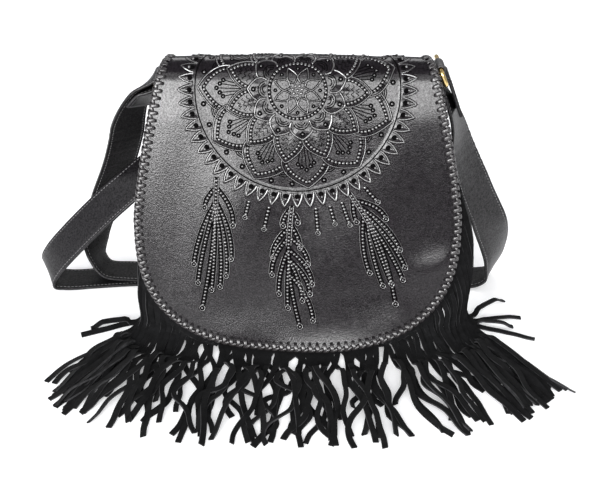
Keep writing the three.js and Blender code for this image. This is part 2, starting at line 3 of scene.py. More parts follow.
import bmesh
import bpy
import numpy as np
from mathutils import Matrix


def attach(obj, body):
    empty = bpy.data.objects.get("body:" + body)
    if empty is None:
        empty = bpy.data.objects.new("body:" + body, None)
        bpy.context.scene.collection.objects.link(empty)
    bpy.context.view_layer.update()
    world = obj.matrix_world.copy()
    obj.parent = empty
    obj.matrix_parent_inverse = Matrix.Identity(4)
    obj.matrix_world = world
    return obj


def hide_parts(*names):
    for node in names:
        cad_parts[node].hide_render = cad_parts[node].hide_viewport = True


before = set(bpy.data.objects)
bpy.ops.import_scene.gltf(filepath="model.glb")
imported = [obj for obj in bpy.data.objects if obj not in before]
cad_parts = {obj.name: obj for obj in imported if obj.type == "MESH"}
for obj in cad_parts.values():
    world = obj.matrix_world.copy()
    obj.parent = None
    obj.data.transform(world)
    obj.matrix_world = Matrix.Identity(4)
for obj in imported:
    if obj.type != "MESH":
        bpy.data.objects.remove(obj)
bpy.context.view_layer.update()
MM = 0.001  # metres
MERGE_DISTANCE = 1e-7  # metres

# Walls and leans of the body
WALL = 2.4  # leather of the flap, the panels and the gusset
GAP = 0.3  # between pieces that touch
FRONT_LEAN = math.radians(14.5)
BACK_LEAN = math.radians(4.5)
BASE_FRONT = -40
BASE_BACK = 36

# Outline of the body: a superellipse below its widest level, a taper above
CORNER_POWER = 2.8
BODY_HALF_WIDTH = 129
BODY_TOP_HALF_WIDTH = 114
BODY_WIDEST = 102
BASE_SINK = 3
GUSSET_TOP = 212
FRONT_TOP = 200
BACK_TOP = 217

# Flap
FLAP_HALF_WIDTH = 137.5
FLAP_TOP_HALF_WIDTH = 108
FLAP_WIDEST = 113  # length along the flap from its lower edge to its widest level
TAPER_POWER = 1.28
FLAP_LOWER_EDGE = 5.2  # height of the lower edge above the floor
FLAP_STANDOFF = 6  # from the front panel's face to the middle of the flap's wall
FLAP_TAIL = 30
FOLD_RADIUS = 21.4
EDGE_SWEEP = 10  # the side edges curve back this much from the crowned middle
FOLD_SWEEP_SHARE = 0.3
SWEEP_FADES_FROM = 110
SWEEP_FADES_TO = 227

# Lacing, fringe, rings, tabs and strap
LACE_PITCH = 6.25
LACE_INSET = 4.7  # from the flap's edge to the lace holes
LACE_WIDTH = 3.5
LACE_THICKNESS = 1.3
FRINGE_COUNT = 160
FRINGE_TOP = 158
FRINGE_BAND = 8
FRINGE_THICKNESS = 1.3
STRIP_WIDTH = 4.6
RING_WIRE = 2
RING_INSIDE = 37
RING_MIDDLE = 41
TAB_WIDTH = 20
TAB_MIDDLE = 34
TAB_WALL = 2
TAB_FOOT = 182
STRAP_WIDTH = 35
STRAP_THICKNESS = 3

# Rings: their two bars, and the strap's lap round the outer one, from its sewn tip over the fold
RINGS = {
    "left": {
        "side": -1, "inner": (112, 232), "outer": (118, 220.5),
        "fold": (129, 208.6), "tip": (137, 196), "turns": (226, 36), "twist": 34,  # degrees
    },
    "right": {
        "side": 1, "inner": (117.4, 235), "outer": (122.5, 222.5),
        "fold": (131.2, 210), "tip": (137.2, 194), "turns": (36, 226), "twist": 0,
    },
}

# The flap's slack: waves that die out towards its edges, and a shoulder that eases into the fold
SLACK = 0.85
SLACK_FROM_SIDES = (8, 60)  # distances over which the waves grow
SLACK_FROM_LOWER_EDGE = (8, 50)
SLACK_FROM_FOLD = (-10, 30)
FLAP_WAVES = ((31, 47, 0, 1), (19, -38, 1.3, 0.7))  # for a radian across and along, phase, share
SHOULDER = 1.8
SHOULDER_BELOW = 35  # from where it starts up to the fold
SHOULDER_ABOVE = 15

# The flap's lower edge flares out near its middle, and a soft bulge runs up towards its right edge
LIP = 5.4
LIP_LEFT = 0.4
LIP_RIGHT = 2.4
LIP_MIDDLE = 30
LIP_REACH = 70
LIP_DEPTH = 46
LIP_POWER = 1.5
LIP_PAST_EDGE = 1.2  # the most that the flare goes on outside the edge
LIP_FROM_SIDES = (10, 60)
BULGE = 2
BULGE_PLACE = (118, 71)
BULGE_REACH = (30, 16)  # along it and across it
BULGE_TURN = math.radians(20)
BULGE_FROM_SIDES = (0, 12)

# Mandala on the flap, laid out flat: radii from its middle, and how petals widen and rise
MANDALA_LENGTH = 224  # of its middle along the flap
MANDALA_RADIUS = 83.5
PETAL_COUNT = 11
PETAL_TURN = 6.7  # degrees from straight down the flap towards +X
PETALS = {
    "outer": {"shift": 0, "foot": 30, "tip": 82, "half": 20, "widest": 0.56, "lift": 0.5, "border": 3.1},
    "inner": {"shift": 0.5, "foot": 22, "tip": 61, "half": 12.5, "widest": 0.5, "lift": 0.36, "border": 2.7},
    "lobe": {"shift": 0, "foot": 20, "tip": 41, "half": 9.6, "widest": 0.5, "lift": 0.26},
}
PETAL_FOOT_LOSS = 0.75  # share of its half width that a petal loses towards its foot
PETAL_TIP_INSET = 1.5  # insets by which the tip of an inset outline draws back
PETAL_RISE = (-0.2, 5)  # distances inside the outline over which a petal rises
LOBES_HIDDEN_TO = 25.5  # the rosette lies over the feet of the lobes
PETAL_STEPS = 40
LEAF_COUNT = 56
LEAF_FOOT = 85.5
LEAF_TIP = 98
LEAF_HALF = 4.3
LEAF_LEAST_HALF = 0.1
LEAF_STEPS = 12
LEAF_LIFT = 0.55
LEAF_EYE = 3.2  # from the foot to the dark eye, painted shade of a hollow
LEAF_BEAD = 5.6
LEAF_BEAD_ASIDE = 0.5
GROUND_SINK = 0.45  # the ground between the petals is beaten down
MIDDLE_RADIUS = 21
MIDDLE_LIFT = 0.2
TAIL_MARGIN = 6  # no tooling this near to the flap's upper end
CIRCLE_MARGIN = 0.6  # from the mandala's edge to the line round it
CIRCLE_STEPS = 421

# Rosette in the mandala's middle
ROSETTE_BEADS = 7
ROSETTE_RADIUS = 3.9
STAR_PETALS = 8
STAR_FOOT = 6.3
STAR_TIP = 20.4
STAR_HALF = 4.3
STAR_WIDEST = 0.35
STAR_POWER = 1.5
STAR_STEPS = 20
STAR_BEADS_AT = (10.5, 13.5)
BEAD_CIRCLE_RADIUS = 23.2
BEAD_CIRCLE_COUNT = 46
ROSETTE_STEPS = 121

# Pins, wavy lines, nested arcs and studs in and between the petals
PIN_FOOT = 44
PIN_HEAD = 64.5
PIN_STEP = 2.5  # each pin is this much shorter than the next one inwards
PIN_FAN = 20  # length over which the fan opens
PIN_SPREAD = (1.3, 3.7)  # between pins at their feet and at the end of the fan
PIN_STUD = 1.5
PIN_STEPS = 12
WAVES_AT = (37, 41, 45, 49)
WAVES_INSET = 5.5
WAVES_HEIGHT = 1.1
WAVES_TURN = 2.5 * math.pi
WAVES_STEPS = 40
LOBE_ARCS = (25.5, (3.2, 5, 6.8), 1.3)  # radius on the mandala, their own radii, reach in radians
GAP_ARCS = (64.5, (5, 6.6, 8.2), 0.95)
ARC_STEPS = 16
STAR_STUD = (18.3, 1.2)  # radius on the mandala, its own radius
LOBE_STUD = (36.2, 1.7)
RIM_STUD = (78, 1.9)
RIM_STUD_TURN = 0.113

# Raised lines of the tooling: width, height, and the groove of painted shade beside them
LINES = {
    "petal": (0.95, 0.65, 0.5), "lobe": (1.3, 0.55, 0.45), "leaf": (1.3, 0.6, 0.45), "star": (0.8, 0.5, 0.6),
    "quill": (0.85, 0.45, 0.45), "barb": (0.7, 0.6, 0.3), "ring": (0.95, 0.6, 0.1),
}
# Dark channels of the tooling, flat strips of painted shade where pressed grooves would fall in shade: width
GROOVES = {
    "border": 3.1, "pin": 0.85, "wave": 0.6, "arc": 0.9,
    "rosette": 3, "circle": 1.1, "string": 4.4, "drop": 3.7,
}
# Beads of the tooling: radius and height
BEADS = {
    "border": (1.45, 0.95), "middle": (1.5, 1.1), "rosette": (1.6, 1.1), "star": (0.6, 0.5),
    "circle": (1.35, 0.9), "leaf": (1.4, 1.3), "string": (1.45, 1.2), "drop": (1.45, 0.9),
}
# The leaf's dark eye, painted shade of a hollow: radius and height
LEAF_EYE_SIZE = (2.4, 0.75)
BEAD_PITCH = 3.1

# Depths of the tooling, and the parts of its studs and ring dots
SUNK = 0.3  # how far the foot of a raised line reaches into the leather
FLUSH = 0.12  # how far a groove's dark floor, painted shade, lies over the broad relief
# Height of the dark discs of painted shade that stand for the punched hollows of studs and ring dots
SHADE_DISC_HEIGHT = 0.22
STUD_MARGIN = 0.6  # dark ring of painted shade outside the radius
STUD_SHARE = 0.6  # bead, as a share of the radius
STUD_HEIGHT = 0.8
RING_DOT_MARGIN = 1
RING_DOT_SHARE = 0.45
RING_DOT_HEIGHT = 0.6
RING_DOT_SIDES = 14
TOOLING_STEP = 1.2
SHORTEST_RUN = 3  # steps
STRING_STEP = 1.4

# Feathers under the mandala: a quill, and strings of beads from a share of it to a ring at x, length
FEATHERS = [
    {"top": (-67.4, 151.7), "tip": (-81.8, 35.4), "bow": -3, "strings": [
        (0.08, -78, 125), (0.1, -54.2, 110), (0.2, -88.2, 74.8), (0.22, -85.1, 57.9), (0.3, -73.5, 52),
        (0.25, -66.1, 54.9), (0.22, -60.8, 65), (0.2, -56.3, 80.2)]},
    {"top": (-4.4, 128.1), "tip": (2.6, 20.9), "bow": 6, "strings": [
        (0.06, 0.5, 112.6), (0.05, -12, 110), (0.2, -20.5, 81.8), (0.28, -21.4, 66.6), (0.38, -15.4, 49.7),
        (0.48, -7.7, 37.2), (0.16, 2.4, 90.8), (0.26, 9.2, 76.7), (0.38, 12.8, 58.9), (0.46, 11.1, 49.9),
        (0.45, 4.5, 44), (0.58, 13.8, 26.4)]},
    {"top": (43.5, 138.7), "tip": (84.8, 40.1), "bow": -7, "strings": [
        (0.06, 50, 113.4), (0.08, 74.7, 115.8), (0.22, 62.1, 68.4), (0.26, 73.6, 56.6), (0.3, 81, 58),
        (0.15, 87.3, 88.4), (0.2, 92.1, 72.4), (0.25, 90.6, 61.7)]},
]

# Short strings of beads under the leaves: top and lower end
DROPS = [
    ((-40.5, 131), (-44, 117.3)), ((-23.7, 126), (-28, 107.1)), ((15.7, 125), (17.5, 103.9)),
    ((27.4, 127), (31.8, 111.8)), ((37.4, 130), (44.4, 110.9)), ((56.4, 143), (67.6, 130.6)),
]

# Strings and fine lines of the feathers
FEATHER_STEPS = 40
STRING_PULL = 0.45  # how strongly a string turns down the feather
BARB_FROM = 6  # step of a string where its fine line starts
BARB_ASIDE = 2.6
QUILL_LINE_STEPS = 14
QUILL_LINE_ASIDE = (1.6, 2.8)
FEATHER_RING = 2.4
STRING_RING = 2.2
DROP_RING = 1.9

# Rows and columns of the flap's sheet and of the panels
FLAP_COLUMNS = 260
FLAP_LOWER_ROWS = 90
FLAP_FRONT_ROWS = 100
FLAP_FOLD_ROWS = 55
FLAP_TAIL_ROWS = 10
FLAP_EVENNESS = 0.7  # the rest of the columns' spacing closes up towards the sides
COARSE = 5  # rows and columns of the flap's outer face for each one of its inner face
FLAP_EDGE_STEPS = 200
FLAP_SIDE_STEPS = 160
PANEL_COLUMNS = 72
PANEL_LOWER_ROWS = 26
PANEL_UPPER_ROWS = 28
GUSSET_COLUMNS = 18

# Slack of the panels and of the side walls, which fold in between them
FRONT_SAG = 0.6
BACK_SAG = 2
SAG_FROM = (4, 45)
SAG_TO = (140, 185)
SAG_MEAN = 0.8
SAG_FOLDS = 0.5
PANEL_WAVES = ((27, 40, 0, 1), (16, -25, 0.7, 0.6))
GUSSET_DIP = 4.5
GUSSET_DIP_FROM = (35, 110)
GUSSET_DIP_TO = (140, 176)

# A lace strand's way round the flap's edge: share of its slant, distance out, lift
LACE_FACE = WALL / 2 + LACE_THICKNESS / 2
OVER_STRAND = (
    (-0.5, -LACE_INSET - 0.4, WALL / 2 - 0.5),
    (-0.47, -LACE_INSET + 0.5, LACE_FACE),
    (-0.25, -2.4, LACE_FACE + 0.35),
    (-0.12, 0, LACE_FACE + 0.25),
    (0, 1.25, 0.4),
    (0.06, 1.25, -0.4),
    (0.2, -0.2, -LACE_FACE),
    (0.45, -LACE_INSET + 0.5, -LACE_FACE),
    (0.5, -LACE_INSET - 0.4, -WALL / 2 + 0.5),
)
CROSS_STRAND = (
    (-0.5, -2.3, WALL / 2),
    (-0.4, -1.4, LACE_FACE + 0.5),
    (-0.15, 0.4, LACE_FACE + 0.2),
    (0.1, 1.3, 0.5),
    (0.3, 1.1, -0.9),
    (0.5, -1.5, -LACE_FACE),
)
LACE_STRANDS = ((OVER_STRAND, 0.4, 1), (CROSS_STRAND, -1.1, 0.7))  # way, slant in pitches, share of the width
LACE_STEPS = 15
LACE_UNEVEN = 0.12
LACE_AHEAD = 0.5  # step along the edge that gives the direction across a strand
LACE_HOLE_INSET = LACE_INSET + 0.9
LACE_HOLE_BACK = 0.2  # pitches
# Lace holes are dark flat beads on the face, painted shade of the punched holes: length, width, height
LACE_HOLE_SIZE = (1.6, 1.7, 0.16)
LACE_HOLE_LIFT = 0.02

# Stitching: pitch, insets, and each stitch's length, width and height
SEAM_PITCH = 4.6
SEAM_STITCH = (3.4, 0.75, 0.5)
SEAM_INSET = 4
SEAM_BELOW_TOP = 28
TAIL_SEAM_INSETS = (3.5, 7)
TAIL_SEAM_MARGIN = 5
TAIL_SEAM_STEPS = 60
TAB_PITCH = 3.6
TAB_STITCH = (2.7, 0.75, 0.5)
TAB_STITCH_INSET = 2.5
STRAP_STITCH_PITCH = 3.5
STRAP_STITCH = (2.5, 0.7, 0.36)
STRAP_STITCH_INSET = 2.7
STRAP_STITCH_LIFT = 0.43  # share of the strap's thickness

# Fall of the fringe's strips, by their share of the seam from the base's middle (0) to its top (1)
FRINGE_FALL = {
    "share": (0, 0.25, 0.4, 0.5, 0.62, 0.8, 1),
    "heading": (0, 6, 14, 20, 25, 29, 34),  # on the floor, in degrees
    "drift_left": (0, 0, 2, 4, 6, 7, 8),  # outwards while they hang
    "drift_right": (0, 0, 2, 5, 10, 17, 24),
    "run": (113, 115, 116, 117, 116, 116, 117),
}
FRINGE_ENDS = (0.015, 0.985)  # shares of the seam where the first and the last strip start
BUNDLE_SHARE = (0.38, 0.6)  # the strips of the side seams lie together in bundles
HEADING_SPREAD = 0.34  # radians to either side for the strips of the base
BUNDLE_SPREAD = 0.12
RUN_SPREAD = 11
WAVE = 5.6
BUNDLE_WAVE = 2.6
STRAY_WAVE = 0.5
WAVE_SPREAD = 0.65
WAVE_TURNS = 6  # radians along a strip
WAVE_TURNS_SPREAD = 2.2
WRIGGLE = 0.3  # share of a second, shorter wave
WRIGGLE_TURNS = 2.4
SHORT_EVERY = 4  # every fourth strip is a short one
SHORT_SHARE = 0.74
STRIP_ROOT_INSET = 2
STRIP_STEP = 3.2
STRIP_GUIDES = 90
STRIP_WIDTH_SPREAD = 0.12
FLOOR_GUIDES = 12
FIRST_FLOOR_GUIDE = 0.1  # share of the floor run
HANGS_ABOVE = 6  # strips with a higher root hang before they reach the floor
LONG_HANG = 40
LONG_HANG_GUIDE = 0.6  # share of the root's height
HANG_OUT = 6
HANG_START = 8
FLAT_START = 5
FLAT_LEAD = 3  # strips that don't hang run straight forward for this length
FOOT_FORWARD = 4
HANG_FOOT = (4, 4.5)  # the foot of a hanging strip lies this much further out and back
HANG_FOOT_SPREAD = (2.5, 1.6)
HANG_TURN_SPREAD = 0.7
FLOOR_BEND = 12
FLOOR_LAYERS = (0.9, 2.3, 3.7, 5.1, 6.5)
LAYER_FROM = 0.2  # share of the floor run
LAYER_ENDS = (0.75, 1)
CURL = 0.75
CURL_FROM = (0.3, 0.9)
CURL_TURNS = 4
CURL_PHASE = 3
FLOOR_CLEARANCE = 0.05

# Strips that stray from the bundles: number from the left end, heading in degrees, run on the floor
STRAYS = {
    0: (66, 66),
    4: (75, 52),
    FRINGE_COUNT - 10: (68, 64),
    FRINGE_COUNT - 7: (84, 48),
    FRINGE_COUNT - 4: (97, 56),
    FRINGE_COUNT - 1: (128, 56),
}

# Uses of the repeatable numbers
(FOR_HEADING, FOR_RUN, FOR_FOOT_OUT, FOR_HANG_TURN, FOR_WAVE, FOR_PHASE, FOR_LACE, FOR_FOOT_BACK, FOR_CURL,
 FOR_CURL_PHASE, FOR_WIDTH, FOR_TURNS) = range(1, 13)
SCATTER_BY_NUMBER = 12.9898
SCATTER_BY_USE = 78.233
SCATTER = 43758.5453

# Strap from the right ring over the floor behind the bag to the left one: middles, directions across
STRAP_ROUTE = [
    ((134, 38, 189), (0.28, 0.96, 0)),
    ((143.5, 43, 155), (0.62, 0.78, 0.05)),
    ((158, 50, 117), (0.83, 0.55, 0.1)),
    ((176, 57.5, 77), (0.88, 0.45, -0.12)),
    ((183, 65, 58), (0.81, 0.56, -0.16)),
    ((187.5, 72, 40), (0.66, 0.69, -0.25)),
    ((188, 76, 22), (0.5, 0.83, -0.2)),
    ((184, 77, 9), (0.3, 0.93, -0.1)),
    ((172, 77, 3.2), (0.1, 1, 0)),
    ((156, 77.5, 1.9), (0, 1, 0)),
    ((110, 79, 1.8), (0, 1, 0)),
    ((-20, 79, 1.8), (0, 1, 0)),
    ((-150, 78, 1.8), (0, 1, 0)),
    ((-200, 72, 1.9), (0, 1, 0)),
    ((-216, 69.5, 2), (-0.04, 1, 0)),
    ((-228, 67.6, 3.6), (-0.15, 1, 0.02)),
    ((-237, 65, 8), (-0.35, 0.92, 0.2)),
    ((-239, 62, 18), (-0.48, 0.76, 0.4)),
    ((-232, 59.5, 31), (-0.5, 0.73, 0.45)),
    ((-209, 56.5, 58), (-0.52, 0.71, 0.45)),
    ((-176, 54.5, 92), (-0.52, 0.71, 0.45)),
    ((-157, 56, 109), (-0.5, 0.74, 0.44)),
    ((-138, 62, 125), (-0.42, 0.82, 0.38)),
    ((-112, 70, 140), (-0.25, 0.93, 0.25)),
    ((-88, 76, 133), (-0.05, 1, 0.1)),
    ((-74, 80, 105), (0, 1, 0)),
    ((-70, 82, 65), (0, 1, 0)),
    ((-75, 83, 30), (0, 1, 0)),
    ((-92, 82.5, 9.5), (0, 1, 0)),
    ((-120, 81, 5.4), (0, 1, 0)),
    ((-165, 80, 5.4), (0, 1, 0)),
    ((-188, 82, 7.5), (0, 1, -0.05)),
    ((-196.5, 85.5, 18), (0.15, 1, -0.12)),
    ((-197.5, 89, 33), (0.5, 0.85, -0.05)),
    ((-190.5, 89, 60), (0.65, 0.75, -0.2)),
    ((-180.5, 86, 88), (0.72, 0.65, -0.25)),
    ((-165, 77, 125), (0.8, 0.6, -0.05)),
    ((-154, 63, 157), (0.76, 0.65, -0.1)),
    ((-148, 50, 179), (0.68, 0.73, -0.1)),
    ((-142, 43.5, 194), (0.6, 0.8, -0.05)),
    ((-132, 41.5, 211), (0.45, 0.89, 0)),
]

# Steps, twist and creases of the strap
ROUTE_STEPS = 900
STRAP_STEP = 2.2
LAP_STEPS = 12
LAP_GAP = 1.5 * GAP  # between the lap and its ring
FOLD_TWIST = 0.7  # share of the tip's twist
CREASES_GROW = (90, 110)  # along the strap from each end
CREASES_TO = 175
CREASES_FADE = 30
CREASE_DEPTH = 0.1
CREASE_WAVES = ((1.05, 0, 1), (1.7, 1, 0.6))  # for a radian, phase, share

# Fine sizes of the rings and the tabs
RING_CORNER = 4
RING_CORNER_STEPS = 9
RING_SIDES = 16
TAB_STEP = 1.2
TAB_ROWS = 6
TAB_TURN_STEPS = 15
TAB_BEND = 2.6  # reaches below the bar from where the legs run straight up to it

# Leather and suede: colour stops, polish, pores
COLOUR_STOPS = (0.36, 0.68)
SHINE_SPREAD = 0.5
POLISH_GRAIN = 150
POLISH_SPREAD = (-0.02, 0.03)
PEBBLE_STRENGTH = 0.5
PORE_GRAIN = 2.6  # pores for each pebble
PORE_STRENGTH = 0.35
PORE_DEPTH = 0.6  # share of the pebbles' depth
NAP_GRAIN = 160
FIBRE_GRAIN = 1500
NOISE_RANGE = (0.3, 0.7)  # values that most of a noise lies between

# Stage, in metres and watts: for each light its place, the height it aims at, its size and its power
LIGHTS = {
    "window": ((-2.5, -4.33, 1.08), 0.2, (3.64, 1.82), 390),
    "front_strip": ((1.08, -4.88, 1.42), 0.2, (4.14, 1.2), 205),
    "upper_front": ((-0.6, -4.7, 2.55), 0.2, (6.4, 1.1), 100),
    "high_front": ((-0.6, -3.6, 3.7), 0.2, (6.4, 1.7), 72),
    "left_bank": ((-2.0, 0.3, 1.9), 0, (1.6, 2.0), 11),
    "right_bank": ((2.0, 0.3, 1.9), 0, (1.6, 2.0), 11),
    "back": ((0.1, 1.6, 1.6), 0.2, (2.0, 0.8), 16),
}
SKY = (0.55, 0.56, 0.58, 1)
SKY_STRENGTH = 0.6
FLOOR_HALF = 4
FLOOR_FADE = (-1.3, -0.6)  # in front of the bag, where the pale floor turns grey
FLOOR_GREY = (0.1, 0.1, 0.1)
FLOOR_PALE = (0.9, 0.9, 0.905)
FLOOR_GLOW = 0.27

# Camera
PHOTO_WIDTH = 600  # pixels
PHOTO_HEIGHT = 480
VIEW_HEIGHT = 28  # degrees above the horizon
VIEW_TURN = 0.7
VIEW_DISTANCE = 850
VIEW_TARGET = (0, 0, 120)
TARGET_PIXEL = (297.5, 207.3)
LENS_PIXELS = 995  # focal length
SENSOR = 36


# Small helpers

def lerp(low, high, t):
    return low + (high - low) * t


def smoothstep(value, low, high):
    t = np.clip((value - low) / (high - low), 0, 1)
    return t * t * (3 - 2 * t)


def spread(index, use):
    """A repeatable number from -1 to 1 for a numbered piece, different for each use."""
    wave = np.sin(index * SCATTER_BY_NUMBER + use * SCATTER_BY_USE) * SCATTER
    return 2 * (wave - np.floor(wave)) - 1


def unit(vectors):
    """The vectors at length 1, along the last axis."""
    vectors = np.asarray(vectors, float)
    return vectors / np.linalg.norm(vectors, axis=-1, keepdims=True)


def circle(count):
    """Points at even steps round a circle of radius 1."""
    turn = np.arange(count) / count * 2 * math.pi
    return np.stack([np.cos(turn), np.sin(turn)], -1)


def directions(path, closed=False):
    """Unit vectors along a path at each of its points."""
    if closed:
        return unit(np.roll(path, -1, axis=0) - np.roll(path, 1, axis=0))
    return unit(np.gradient(path, axis=0))


def right_of(along):
    """Flat vectors to the right of the given ones."""
    return np.stack([along[:, 1], -along[:, 0]], -1)


def soft_waves(x, rise, waves):
    """Crossing waves over a sheet."""
    return sum(share * np.sin(x / across + rise / along + phase) for across, along, phase, share in waves)


def smooth_curve(points, count):
    """count points on a centripetal curve through the given ones."""
    points = np.asarray(points, float)
    ends = [2 * points[0] - points[1]], [2 * points[-1] - points[-2]]
    p = np.vstack([ends[0], points, ends[1]])
    gaps = np.linalg.norm(np.diff(p, axis=0), axis=1)[:, None] ** 0.5
    place = np.linspace(0, len(points) - 1, count)
    i = np.minimum(place.astype(int), len(points) - 2)
    t = (place - i)[:, None]
    a, b, c, d = p[i], p[i + 1], p[i + 2], p[i + 3]
    before, here, after = gaps[i], gaps[i + 1], gaps[i + 2]
    leaving = here * ((b - a) / before - (c - a) / (before + here) + (c - b) / here)
    arriving = here * ((c - b) / here - (d - b) / (here + after) + (d - c) / after)
    bend = 2 * (b - c) + leaving + arriving
    slope = 3 * (c - b) - 2 * leaving - arriving
    return b + leaving * t + slope * t ** 2 + bend * t ** 3


def blended(values, count):
    """count values between the given ones, in step with smooth_curve."""
    values = np.asarray(values, float)
    place = np.linspace(0, len(values) - 1, count)
    return np.stack([np.interp(place, np.arange(len(values)), column) for column in values.T], -1)


def lengths_along(path):
    """Distance from the start of a path to each of its points."""
    steps = np.linalg.norm(np.diff(path, axis=0), axis=1)
    return np.concatenate([[0], np.cumsum(steps)])


def spaced(path, pitch, *columns, ends=True):
    """The path, and columns of values beside it, at even steps of about the given pitch."""
    path = np.asarray(path, float)
    place = lengths_along(path)
    count = max(2, int(round(place[-1] / pitch)) + 1)
    margin = 0 if ends else place[-1] / (2 * count)
    at = np.linspace(margin, place[-1] - margin, count)

    def sampled(values):
        values = np.asarray(values, float)
        return np.stack([np.interp(at, place, column) for column in values.T], -1)

    results = [sampled(values) for values in (path, *columns)]
    return results if columns else results[0]


# Meshes

def grid_faces(rows, columns, ring=False):
    """Quads between rows of points. A ring joins each row's last point to its first."""
    spans = columns if ring else columns - 1
    i, j = np.meshgrid(np.arange(rows - 1), np.arange(spans), indexing="ij")
    k = (j + 1) % columns
    corners = [i * columns + j, i * columns + k, (i + 1) * columns + k, (i + 1) * columns + j]
    return np.stack(corners, -1).reshape(-1, 4)


def grid_edge(rows, columns):
    """Numbers of the points round a grid, in order."""
    return np.concatenate([
        np.arange(columns),
        np.arange(1, rows) * columns + columns - 1,
        rows * columns - 2 - np.arange(columns - 1),
        np.arange(rows - 2, 0, -1) * columns,
    ])


class Shape:
    """Points and faces that grow part by part."""

    def __init__(self):
        self.points = []
        self.faces = []
        self.kinds = []  # material number of each face
        self.count = 0

    def add(self, points, faces, kind=0):
        points = np.asarray(points, float).reshape(-1, 3)
        self.faces.extend([[corner + self.count for corner in face] for face in np.asarray(faces).tolist()])
        self.kinds.extend([kind] * len(faces))
        self.points.append(points)
        self.count += len(points)

    def loft(self, sections, closed=False, kinds=None):
        """A solid through sections whose points run counter-clockwise seen from the far end.
        kinds gives a material number for each side of the section."""
        sections = np.asarray(sections, float)
        rows, size = sections.shape[:2]
        start = self.count
        if closed:
            sections = np.concatenate([sections, sections[:1]])
            rows += 1
        faces = grid_faces(rows, size, ring=True)
        self.add(sections, faces)
        if kinds is not None:
            self.kinds[-len(faces):] = list(kinds) * (rows - 1)
        if not closed:
            self.faces.append(list(range(start + size - 1, start - 1, -1)))
            self.faces.append(list(range(start + (rows - 1) * size, start + rows * size)))
            self.kinds.extend([0, 0])

    def wall(self, front, back):
        """A leather wall between two grids of points. The first one's rows and columns run so
        that it faces outwards."""
        rows, columns = front.shape[:2]
        size = rows * columns
        faces = grid_faces(rows, columns)
        edge = grid_edge(rows, columns)
        after = np.roll(edge, -1)
        rim = np.stack([after, edge, edge + size, after + size], -1)
        points = np.concatenate([front.reshape(-1, 3), back.reshape(-1, 3)])
        self.add(points, np.concatenate([faces, faces[:, ::-1] + size, rim]))

    def copies(self, template, centres, along, side, up, kind=0):
        """A template's points and faces at each centre, on three axes."""
        points, faces = template
        centres, along, side, up = np.broadcast_arrays(centres, along, side, up)
        placed = centres[:, None, :] + (
            points[None, :, 0:1] * along[:, None, :]
            + points[None, :, 1:2] * side[:, None, :]
            + points[None, :, 2:3] * up[:, None, :])
        shifts = np.arange(len(centres))[:, None, None] * len(points)
        self.add(placed, (faces[None] + shifts).reshape(-1, faces.shape[1]), kind)

    def all_points(self):
        return np.concatenate(self.points)


def dome(sides, rises):
    """A ball of radius 1 as a template: points and quads in rings at the given angles, with collapsed
    quads at its poles."""
    around = circle(sides)
    rows = [np.column_stack([around * math.cos(a), np.full(sides, math.sin(a))]) for a in rises]
    return np.concatenate(rows), grid_faces(len(rises), sides, ring=True)


BEAD = dome(8, (-math.pi / 2, 0, 0.5, 1, math.pi / 2))
STITCH = dome(6, (-math.pi / 2, 0, 0.6, math.pi / 2))


def add_object(name, data):
    """A new object in the scene."""
    added = bpy.data.objects.new(name, data)
    bpy.context.scene.collection.objects.link(added)
    return added


def add_piece(name, shape, materials, replaced=(), points=None, smooth=True):
    """A mesh in the scene that rides on the bag, made from a shape in millimetres."""
    mesh = bpy.data.meshes.new(name)
    places = shape.all_points() if points is None else points
    places = np.maximum(places, [-np.inf, -np.inf, 0])  # the floor holds everything up
    mesh.from_pydata((places * MM).tolist(), [], shape.faces)
    for material in materials:
        mesh.materials.append(material)
    mesh.polygons.foreach_set("material_index", shape.kinds)
    mesh.polygons.foreach_set("use_smooth", [smooth] * len(mesh.polygons))
    tidy_mesh(mesh)
    piece = add_object(name, mesh)
    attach(piece, "root")
    for node in replaced:
        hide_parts(node)


def tidy_mesh(mesh):
    """Merges points that share a place and drops the faces that collapse."""
    work = bmesh.new()
    work.from_mesh(mesh)
    bmesh.ops.remove_doubles(work, verts=work.verts, dist=MERGE_DISTANCE)
    bmesh.ops.dissolve_degenerate(work, dist=MERGE_DISTANCE, edges=work.edges)
    work.to_mesh(mesh)
    work.free()
    mesh.validate()


# Materials

NOISE = "ShaderNodeTexNoise"


def set_inputs(node, settings):
    """Constant values for a node's sockets, named with underscores for spaces."""
    for socket, value in settings.items():
        node.inputs[socket.replace("_", " ")].default_value = value


def new_material(name, **settings):
    """A material and its shader, with constant values on the shader."""
    material = bpy.data.materials.new(name)
    material.use_nodes = True
    shader = material.node_tree.nodes["Principled BSDF"]
    set_inputs(shader, settings)
    return material, shader


def link(material, source, target):
    material.node_tree.links.new(source, target)


def add_node(material, kind, source, socket, **settings):
    """A node with constant values that a source feeds through one socket."""
    node = material.node_tree.nodes.new(kind)
    set_inputs(node, settings)
    link(material, source, node.inputs[socket])
    return node


def own_place(material):
    """The object's own coordinates."""
    nodes = material.node_tree.nodes
    node = nodes.get("Place") or nodes.new("ShaderNodeTexCoord")
    node.name = "Place"
    return node.outputs["Object"]


def texture(material, kind, scale, output="Fac", **settings):
    """A texture on the object's own coordinates, in repeats for each metre."""
    return add_node(material, kind, own_place(material), "Vector", Scale=scale, **settings).outputs[output]


def ramp(material, source, stops, colours, target):
    """Colours by a factor, one at each stop."""
    node = add_node(material, "ShaderNodeValToRGB", source, "Fac")
    for element, position, colour in zip(node.color_ramp.elements, stops, colours):
        element.position = position
        element.color = (*colour, 1)
    link(material, node.outputs["Color"], target)


def varied(material, source, low, high, target):
    """A number between low and high that follows a texture."""
    least, most = NOISE_RANGE
    limits = {"From_Min": least, "From_Max": most, "To_Min": low, "To_Max": high}
    node = add_node(material, "ShaderNodeMapRange", source, "Value", **limits)
    link(material, node.outputs["Result"], target)


